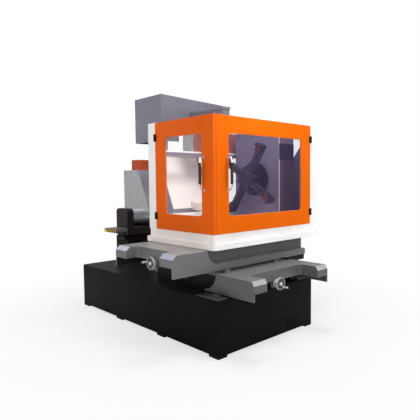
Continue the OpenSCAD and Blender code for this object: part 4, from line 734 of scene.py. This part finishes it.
# %% Screws on the table and doors
hinges_low, hinges_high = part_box("left_knuckles")
left_low, left_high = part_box("left_door")
door_low, door_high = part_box("front_door")
hatch_low, hatch_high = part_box("headstock_hatch")
head_low, head_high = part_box("headstock_case")
KNUCKLE, HINGE_RISE, HINGE_PITCH = 0.072, 0.018, 0.036
HINGE_OUT, HINGE_EDGE, HINGE_SCREW = 0.005, 0.014, (0.004, 0.002)
HATCH_INSET, HATCH_RISE, HEAD_INSET = 0.015, 0.012, 0.02
left_screws, front_screws = [], []
for foot in (hinges_low.z, hinges_high.z - KNUCKLE):
    spot = (left_low.x - HINGE_OUT, left_high.y - HINGE_EDGE, foot + HINGE_RISE)
    left_screws.append(screws(2, spot, (0, 0, HINGE_PITCH), "-x", *HINGE_SCREW))
    spot = (door_high.x - HINGE_EDGE, door_low.y - HINGE_OUT, foot + HINGE_RISE)
    front_screws.append(screws(2, spot, (0, 0, HINGE_PITCH), "-y", *HINGE_SCREW))
seat("left_hinge_screws", left_screws, "left_leaf")
seat("front_hinge_screws", front_screws, "front_leaf")
table_screws = []
for height in (hatch_low.z + HATCH_RISE, hatch_high.z - HATCH_RISE):
    table_screws.append(screws(3, (hatch_low.x + HATCH_INSET, hatch_low.y, height), (0.11, 0, 0), "-y"))
spot = (head_low.x, head_low.y + HEAD_INSET, head_high.z - HEAD_INSET)
table_screws.append(screws(5, spot, (0, 0.15, 0), "-x"))
seat("head_screws", table_screws, "table")
print("door and head screw lines:", len(left_screws) + len(front_screws) + len(table_screws))

# %% [markdown]
# Rings of hexagon screws hold the chuck's backplate, its hub and the cap of its boss, and
# four more stand on the arms at each of three reaches. A ring tree turns a point circle into
# the machine's axis and stands a head on each point.

# %% Ring tree and its rings
ring_tree, given, out = new_tree(
    "screw_ring", Count="number", Centre="vector", Ring_Radius="value", Turn="vector", Radius="value",
    Height="value", Phase="value", Finish="finish")
head_top = arithmetic(ring_tree, "MULTIPLY", given["Radius"], 0.82)
head = add(ring_tree, "GeometryNodeMeshCone", Vertices=6, Radius_Bottom=given["Radius"],
           Radius_Top=head_top, Depth=given["Height"]).outputs[0]
phase = add(ring_tree, "ShaderNodeCombineXYZ", Z=given["Phase"]).outputs[0]
spun = move(ring_tree, stand(ring_tree, point_ring(ring_tree, given), head), Rotation=phase)
turned = move(ring_tree, spun, Translation=given["Centre"], Rotation=given["Turn"])
finish_tree(ring_tree, turned, given["Finish"], out)


def screw_ring(count, centre, ring_radius, face, radius, height, phase=0.0):
    """Hexagon heads round a circle; phase is the first one's angle in degrees."""
    return grow("ring", ring_tree, Count=count, Centre=centre, Ring_Radius=ring_radius,
                Turn=FACE_TURN[face], Radius=radius, Height=height, Finish=FINISH["bolt_black"],
                Phase=math.radians(phase))


hub_low, hub_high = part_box("chuck_hub")
arms_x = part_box("chuck_arms")[0].x
axis_y, axis_z = (hub_low.y + hub_high.y) / 2, (hub_low.z + hub_high.z) / 2
BACKPLATE, CAP_PROUD, ARM_PHASE = 0.077, 0.018, 57.0
HUB_RINGS = [(8, hub_low.x + BACKPLATE, 0.17), (6, hub_low.x, 0.125), (8, arms_x - CAP_PROUD, 0.062)]
rings = [screw_ring(count, (x, axis_y, axis_z), reach, "-x", 0.009, 0.007) for count, x, reach in HUB_RINGS]
for reach in (0.17, 0.235, 0.3):
    rings.append(screw_ring(4, (arms_x, axis_y, axis_z), reach, "-x", 0.01, 0.008, ARM_PHASE))
seat("chuck_screws", rings, "chuck")
print("screw rings:", len(rings))

# %% [markdown]
# The drum is covered by many turns of wire laid side by side. A tube ring on each point of a
# line reads as that winding and catches a broken highlight that a bump alone would not.

# %% Winding on the drum
wind_tree, given, out = new_tree(
    "winding", Count="number", Start="vector", Step="vector", Drum_Radius="value",
    Wire_Radius="value", Finish="finish")
loop, section = (
    add(wind_tree, "GeometryNodeCurvePrimitiveCircle", Resolution=sides, Radius=radius).outputs[0]
    for sides, radius in ((64, given["Drum Radius"]), (6, given["Wire Radius"]))
)
tube = add(wind_tree, "GeometryNodeCurveToMesh", at={0: loop, 1: section}).outputs[0]
across = add(wind_tree, "FunctionNodeEulerToRotation", at={0: (0.0, math.pi / 2, 0.0)}).outputs[0]
wound = stand(wind_tree, point_line(wind_tree, given), tube, Rotation=across)
finish_tree(wind_tree, wound, given["Finish"], out)

drum_low, drum_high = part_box("drum")
drum_y, drum_z = (drum_low.y + drum_high.y) / 2, (drum_low.z + drum_high.z) / 2
DRUM_FROM, DRUM_LONG, FLANGE = 0.102, 0.29, 0.012
TURN_PITCH, TURN_RADIUS, WOUND_RADIUS = 0.005, 0.0023, 0.1083
turns = int((DRUM_LONG - 2 * FLANGE) / TURN_PITCH)
winding = grow("winding", wind_tree, Count=turns, Start=(drum_low.x + DRUM_FROM + FLANGE, drum_y, drum_z),
               Step=(TURN_PITCH, 0, 0), Drum_Radius=WOUND_RADIUS, Wire_Radius=TURN_RADIUS,
               Finish=FINISH["drum_wound"])
seat("drum_winding", [winding], "wire_drum")
print("turns on the drum:", turns)

# %% [markdown]
# The motor's body carries cooling fins along its length. They stand round a circle, so the
# ring tree's idea returns with a thin block turned to face outwards on every point.

# %% Motor fins
fin_tree, given, out = new_tree(
    "fins", Count="number", Centre="vector", Ring_Radius="value", Size="vector", Finish="finish")
fin = add(fin_tree, "GeometryNodeMeshCube", Size=given["Size"]).outputs[0]
index = add(fin_tree, "GeometryNodeInputIndex").outputs[0]
step = arithmetic(fin_tree, "DIVIDE", 2 * math.pi, given["Count"])
angle = arithmetic(fin_tree, "MULTIPLY", index, step)
around = add(fin_tree, "ShaderNodeCombineXYZ", Z=angle).outputs[0]
outward = add(fin_tree, "FunctionNodeEulerToRotation", at={0: around}).outputs[0]
stood = stand(fin_tree, point_ring(fin_tree, given), fin, Rotation=outward)
laid = move(fin_tree, stood, Translation=given["Centre"], Rotation=(0.0, math.pi / 2, 0.0))
finish_tree(fin_tree, laid, given["Finish"], out)

motor_low, motor_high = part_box("drum_motor")
FIN_COUNT, FIN_BACK, FIN_RING, FIN_SIZE = 30, 0.01, 0.084, (0.012, 0.003, 0.15)
fin_x = (motor_low.x + motor_high.x) / 2 - FIN_BACK
fins = grow("fins", fin_tree, Count=FIN_COUNT, Centre=(fin_x, drum_y, drum_z), Ring_Radius=FIN_RING,
            Size=FIN_SIZE, Finish=FINISH["motor_grey"])
cap_ring = screw_ring(4, (motor_high.x, drum_y, drum_z), 0.06, "+x", 0.006, 0.004)
seat("motor_fins", [fins, cap_ring], "carriage")
print("motor fins:", FIN_COUNT)

# %% [markdown]
# Flat trim is easiest from outlines. A small helper turns an outline, given as points in two
# of the three axes, into a slab of real thickness, with its faces pointing outwards.

# %% Outline helper


def lift(point, axis, level):
    """A point of an outline in the plane across the named axis."""
    return {"x": (level, *point), "y": (point[0], level, point[1]), "z": (*point, level)}[axis]


def slab(outline, axis, low, high, finish, hole=None):
    """A slab between two levels of an axis. With a hole of as many points it becomes a ring."""
    shape = bmesh.new()
    rows = [[shape.verts.new(lift(p, axis, level)) for p in outline] for level in (low, high)]
    count = len(outline)
    if hole is None:
        shape.faces.new(rows[0])
        shape.faces.new(rows[1])
    else:
        inner = [[shape.verts.new(lift(p, axis, level)) for p in hole] for level in (low, high)]
    for i in range(count):
        j = (i + 1) % count
        shape.faces.new((rows[0][i], rows[0][j], rows[1][j], rows[1][i]))
        if hole is not None:
            shape.faces.new((inner[0][i], inner[0][j], inner[1][j], inner[1][i]))
            for level in (0, 1):
                shape.faces.new((rows[level][i], rows[level][j], inner[level][j], inner[level][i]))
    bmesh.ops.recalc_face_normals(shape, faces=shape.faces)
    mesh = bpy.data.meshes.new("slab")
    shape.to_mesh(mesh)
    shape.free()
    mesh.materials.append(FINISH[finish])
    return mesh


def rectangle(a0, b0, a1, b1):
    return [(a0, b0), (a1, b0), (a1, b1), (a0, b1)]


def rounded_outline(a0, b0, a1, b1, radius, steps=8):
    """A rectangle with round corners, counter-clockwise."""
    corners = [(a1 - radius, b0 + radius, -90), (a1 - radius, b1 - radius, 0),
               (a0 + radius, b1 - radius, 90), (a0 + radius, b0 + radius, 180)]
    points = []
    for a, b, start in corners:
        for k in range(steps + 1):
            angle = math.radians(start + 90 * k / steps)
            points.append((a + radius * math.cos(angle), b + radius * math.sin(angle)))
    return points


print("outline helper ready")

# %% [markdown]
# The four arms meet under an eight-sided boss, and a dark slot runs down the middle of each
# arm for the jaw's screw. Outlines drawn once and turned about the spindle axis give both.

# %% Boss and arm slots


def about_spindle(points, degrees, front, back, finish):
    """A slab of an outline (along an arm, across it), turned and at depths from the arms' face."""
    c, s = math.cos(math.radians(degrees)), math.sin(math.radians(degrees))
    outline = [(axis_y + u * c - v * s, axis_z + u * s + v * c) for u, v in points]
    return slab(outline, "x", arms_x + front, arms_x + back, finish)


ARM_ANGLE, BOSS, BOSS_PROUD, BOSS_LET_IN, CAP_SHARE = 33, 0.098, 0.012, 0.02, 0.75
SLOT = rectangle(0.13, -0.006, 0.37, 0.006)
WEDGE = [(0.04, -0.03), (0.135, -0.016), (0.135, 0.016), (0.04, 0.03)]
corner = [(BOSS * math.cos(math.radians(a)), BOSS * math.sin(math.radians(a))) for a in range(22, 382, 45)]
inner = [(CAP_SHARE * u, CAP_SHARE * v) for u, v in corner]
crown = [
    about_spindle(corner, ARM_ANGLE, -BOSS_PROUD, BOSS_LET_IN, "arm_plum"),
    about_spindle(inner, ARM_ANGLE, -CAP_PROUD, -BOSS_PROUD, "hatch_plum"),
]
for degrees in range(ARM_ANGLE, ARM_ANGLE + 360, 90):
    crown.append(about_spindle(SLOT, degrees, -0.0012, 0, "bolt_black"))
    crown.append(about_spindle(WEDGE, degrees + 45, 0.005, 0.07, "arm_plum"))
seat("chuck_boss", crown, "chuck")
print("boss, slots and wedges:", len(crown))

# %% [markdown]
# Three small pieces that the photograph shows only as dark shapes: a low lip behind the drum
# that keeps slurry on the carriage, a bracket on the pedestal's left under the carriage plate,
# and a folded skirt under the saddle's right end, which closes the open side of the end guard.

# %% Drum lip, pedestal bracket and guard skirt
guard_low, guard_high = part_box("end_guard")
LIP_FROM, LIP_TO, LIP_BACK, LIP_DROP = 0.0975, 0.3975, 0.1165, 0.144
LIP = [(0, 0), (0.003, 0), (0.003, 0.042), (-0.0045, 0.048), (-0.006, 0.0455), (0, 0.0405)]
lip_y, lip_z = drum_y + LIP_BACK, drum_z - LIP_DROP
lip = slab([(lip_y + y, lip_z + z) for y, z in LIP], "x", drum_low.x + LIP_FROM, drum_low.x + LIP_TO,
           "carriage_brown")
seat("drum_lip", [lip], "carriage")
BRACKET = [(-0.254, 0.82), (-0.254, 0.879), (-0.299, 0.879), (-0.299, 0.84), (-0.29, 0.828)]
BRACKET_Y = (1.02, 1.16)
seat("pedestal_bracket", [slab(BRACKET, "y", *BRACKET_Y, "riser_black")], "frame")
SHEET, SKIRT_OUT, SKIRT_INSET = 0.003, 0.0065, 0.001
skirt_x, skirt_z, under = guard_low.x - SKIRT_OUT, guard_low.z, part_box("saddle_casting")[0].z
fold = under - SHEET
outline = [(skirt_x, skirt_z), (skirt_x + SHEET, skirt_z), (skirt_x + SHEET, fold),
           (guard_low.x, fold), (guard_low.x, under), (skirt_x, under)]
skirt = slab(outline, "y", guard_low.y + SKIRT_INSET, guard_high.y - SKIRT_INSET, "riser_black")
seat("guard_skirt", [skirt], "saddle")
print("lip, bracket and skirt made")

# %% [markdown]
# Each window is edged by a soft orange-brown strip that grips the sheet. It follows the
# rounded opening, a few millimetres wide, just inside the door's face.

# %% Window trim
WINDOW_IN, WINDOW_R, PANE_DEEP = 0.155, 0.045, 0.012
TRIM_WIDE, TRIM_THICK, FILM = 0.006, 0.007, 0.0003


def window_ring(a0, a1, axis, face):
    """The strip round the window of a door that lies across the named axis."""
    a0, b0, a1, b1 = a0 + WINDOW_IN, door_low.z + WINDOW_IN, a1 - WINDOW_IN, door_high.z - WINDOW_IN
    outer, inner = (
        rounded_outline(a0 + by, b0 + by, a1 - by, b1 - by, radius)
        for by, radius in ((FILM, WINDOW_R), (TRIM_WIDE, WINDOW_R - TRIM_WIDE))
    )
    pane_face = face + PANE_DEEP
    return slab(outer, axis, pane_face - TRIM_THICK, pane_face - FILM, "trim_clear", inner)


seat("left_window_trim", [window_ring(left_low.y, left_high.y, "x", left_low.x)], "left_leaf")
seat("front_window_trim", [window_ring(door_low.x, door_high.x, "y", door_low.y)], "front_leaf")
print("window trims: 2")

# %% [markdown]
# The carriage plate's free end carries a warning stripe in yellow and black. Slanted bars are
# cut to the strip's height by giving each one its own four corners.

# %% Stripe on the carriage end
plate_low, plate_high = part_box("drum_carriage")
STRIPE_DROP, STRIPE_TALL, STRIPE_INSET, LAYER = 0.1508, 0.04, 0.006, 0.0006
BAR, BAR_LEAN, FIRST_BAR = 0.052, 0.03, 0.004
stripe_x, stripe_z1 = plate_low.x, drum_z - STRIPE_DROP
stripe_z0 = stripe_z1 - STRIPE_TALL
stripe_y0, stripe_y1 = plate_low.y + STRIPE_INSET, plate_high.y - STRIPE_INSET
ground = rectangle(stripe_y0, stripe_z0, stripe_y1, stripe_z1)
bars = [slab(ground, "x", stripe_x - LAYER, stripe_x, "stripe_yellow")]
y = stripe_y0 + FIRST_BAR
while y + BAR + BAR_LEAN < stripe_y1:
    middle = y + BAR / 2
    corners = [(y, stripe_z0), (middle, stripe_z0), (middle + BAR_LEAN, stripe_z1), (y + BAR_LEAN, stripe_z1)]
    bars.append(slab(corners, "x", stripe_x - 2 * LAYER, stripe_x - LAYER, "hinge_black"))
    y += BAR
seat("carriage_stripe", bars, "carriage")
print("stripe bars:", len(bars) - 1)

# %% [markdown]
# Light: the photograph was lit from the front right, so the orange front door is bright and
# the left side falls into shade. Large soft lamps at a plain level do that; the white ground
# comes from what camera rays see, never from more light on the machine.

# %% Lamps and world
# Name, place, aim, power in watts and length of the square's side in metres
LAMPS = [
    ("key", (1.6, -6.4, 2.9), (0.1, -0.2, 1.2), 150, 2.6),
    ("side", (-6.5, -1.0, 2.6), (0, 0, 1.1), 95, 3.0),
    ("sky", (0.0, 0.0, 7.0), (0, 0, 0), 150, 4.5),
    ("inner", (-0.1, -1.3, 3.3), (0.2, 0.4, 1.3), 35, 0.8),
    ("rear", (-2.0, 6.5, 4.0), (0, 0.5, 1.2), 100, 3.5),
]
for name, place, aim, power, size in LAMPS:
    data = bpy.data.lights.new(name, "AREA")
    data.energy, data.shape, data.size = power, "SQUARE", size
    lamp = new_object(name, data)
    lamp.location = place
    lamp.rotation_euler = (Vector(aim) - Vector(place)).to_track_quat("-Z", "Y").to_euler()

world = bpy.data.worlds.new("studio")
bpy.context.scene.world = world
world.use_nodes = True
tree = world.node_tree
tree.nodes.clear()
paths = add(tree, "ShaderNodeLightPath").outputs
seen = arithmetic(tree, "MAXIMUM", paths["Is Camera Ray"], paths["Is Transmission Ray"])
dome = add(tree, "ShaderNodeBackground", Color=(0.93, 0.95, 1.0, 1), Strength=0.4).outputs[0]
white = add(tree, "ShaderNodeBackground", Color=(1, 1, 1, 1), Strength=1.0).outputs[0]
mixed = add(tree, "ShaderNodeMixShader", at={0: seen, 1: dome, 2: white}).outputs[0]
add(tree, "ShaderNodeOutputWorld", Surface=mixed)
bpy.context.scene.view_settings.view_transform = "Standard"

# %% [markdown]
# The floor is nearly white and, for the camera, fades into a plain white glow away from the
# machine, so only a faint shadow is left under it.

# %% Floor
FLOOR_HALF = 14.0
FADE_FROM, FADE_TO, GLOW_NEAR = 1.5, 3.2, 0.65
floor_mesh = bpy.data.meshes.new("floor")
corners = [(x, y, 0) for x, y in rectangle(-FLOOR_HALF, -FLOOR_HALF, FLOOR_HALF, FLOOR_HALF)]
floor_mesh.from_pydata(corners, [], [(0, 1, 2, 3)])
floor = new_object("floor", floor_mesh)
ground, tree, shader = new_finish("pale_floor")
place = own_place(tree)
tone = blend_color(tree, noise(tree, place, 0.6, 2.0), (0.86, 0.86, 0.86, 1), (0.89, 0.89, 0.89, 1))
feed(tree, shader.inputs, Base_Color=tone)
shader.inputs["Roughness"].default_value = 0.8
shader.inputs["Specular IOR Level"].default_value = 0.1
paths = add(tree, "ShaderNodeLightPath").outputs
away = add(tree, "ShaderNodeVectorMath", {"operation": "LENGTH"}, {0: place}).outputs["Value"]
fade = spread(tree, away, FADE_FROM, FADE_TO, GLOW_NEAR, 1.0)
glow = add(tree, "ShaderNodeEmission", Color=(1, 1, 1, 1), Strength=1.0).outputs[0]
share = arithmetic(tree, "MULTIPLY", paths["Is Camera Ray"], fade)
both = add(tree, "ShaderNodeMixShader", at={0: share, 1: shader.outputs[0], 2: glow}).outputs[0]
tree.links.new(both, next(n for n in tree.nodes if n.type == "OUTPUT_MATERIAL").inputs["Surface"])
floor_mesh.materials.append(ground)
print("floor laid")
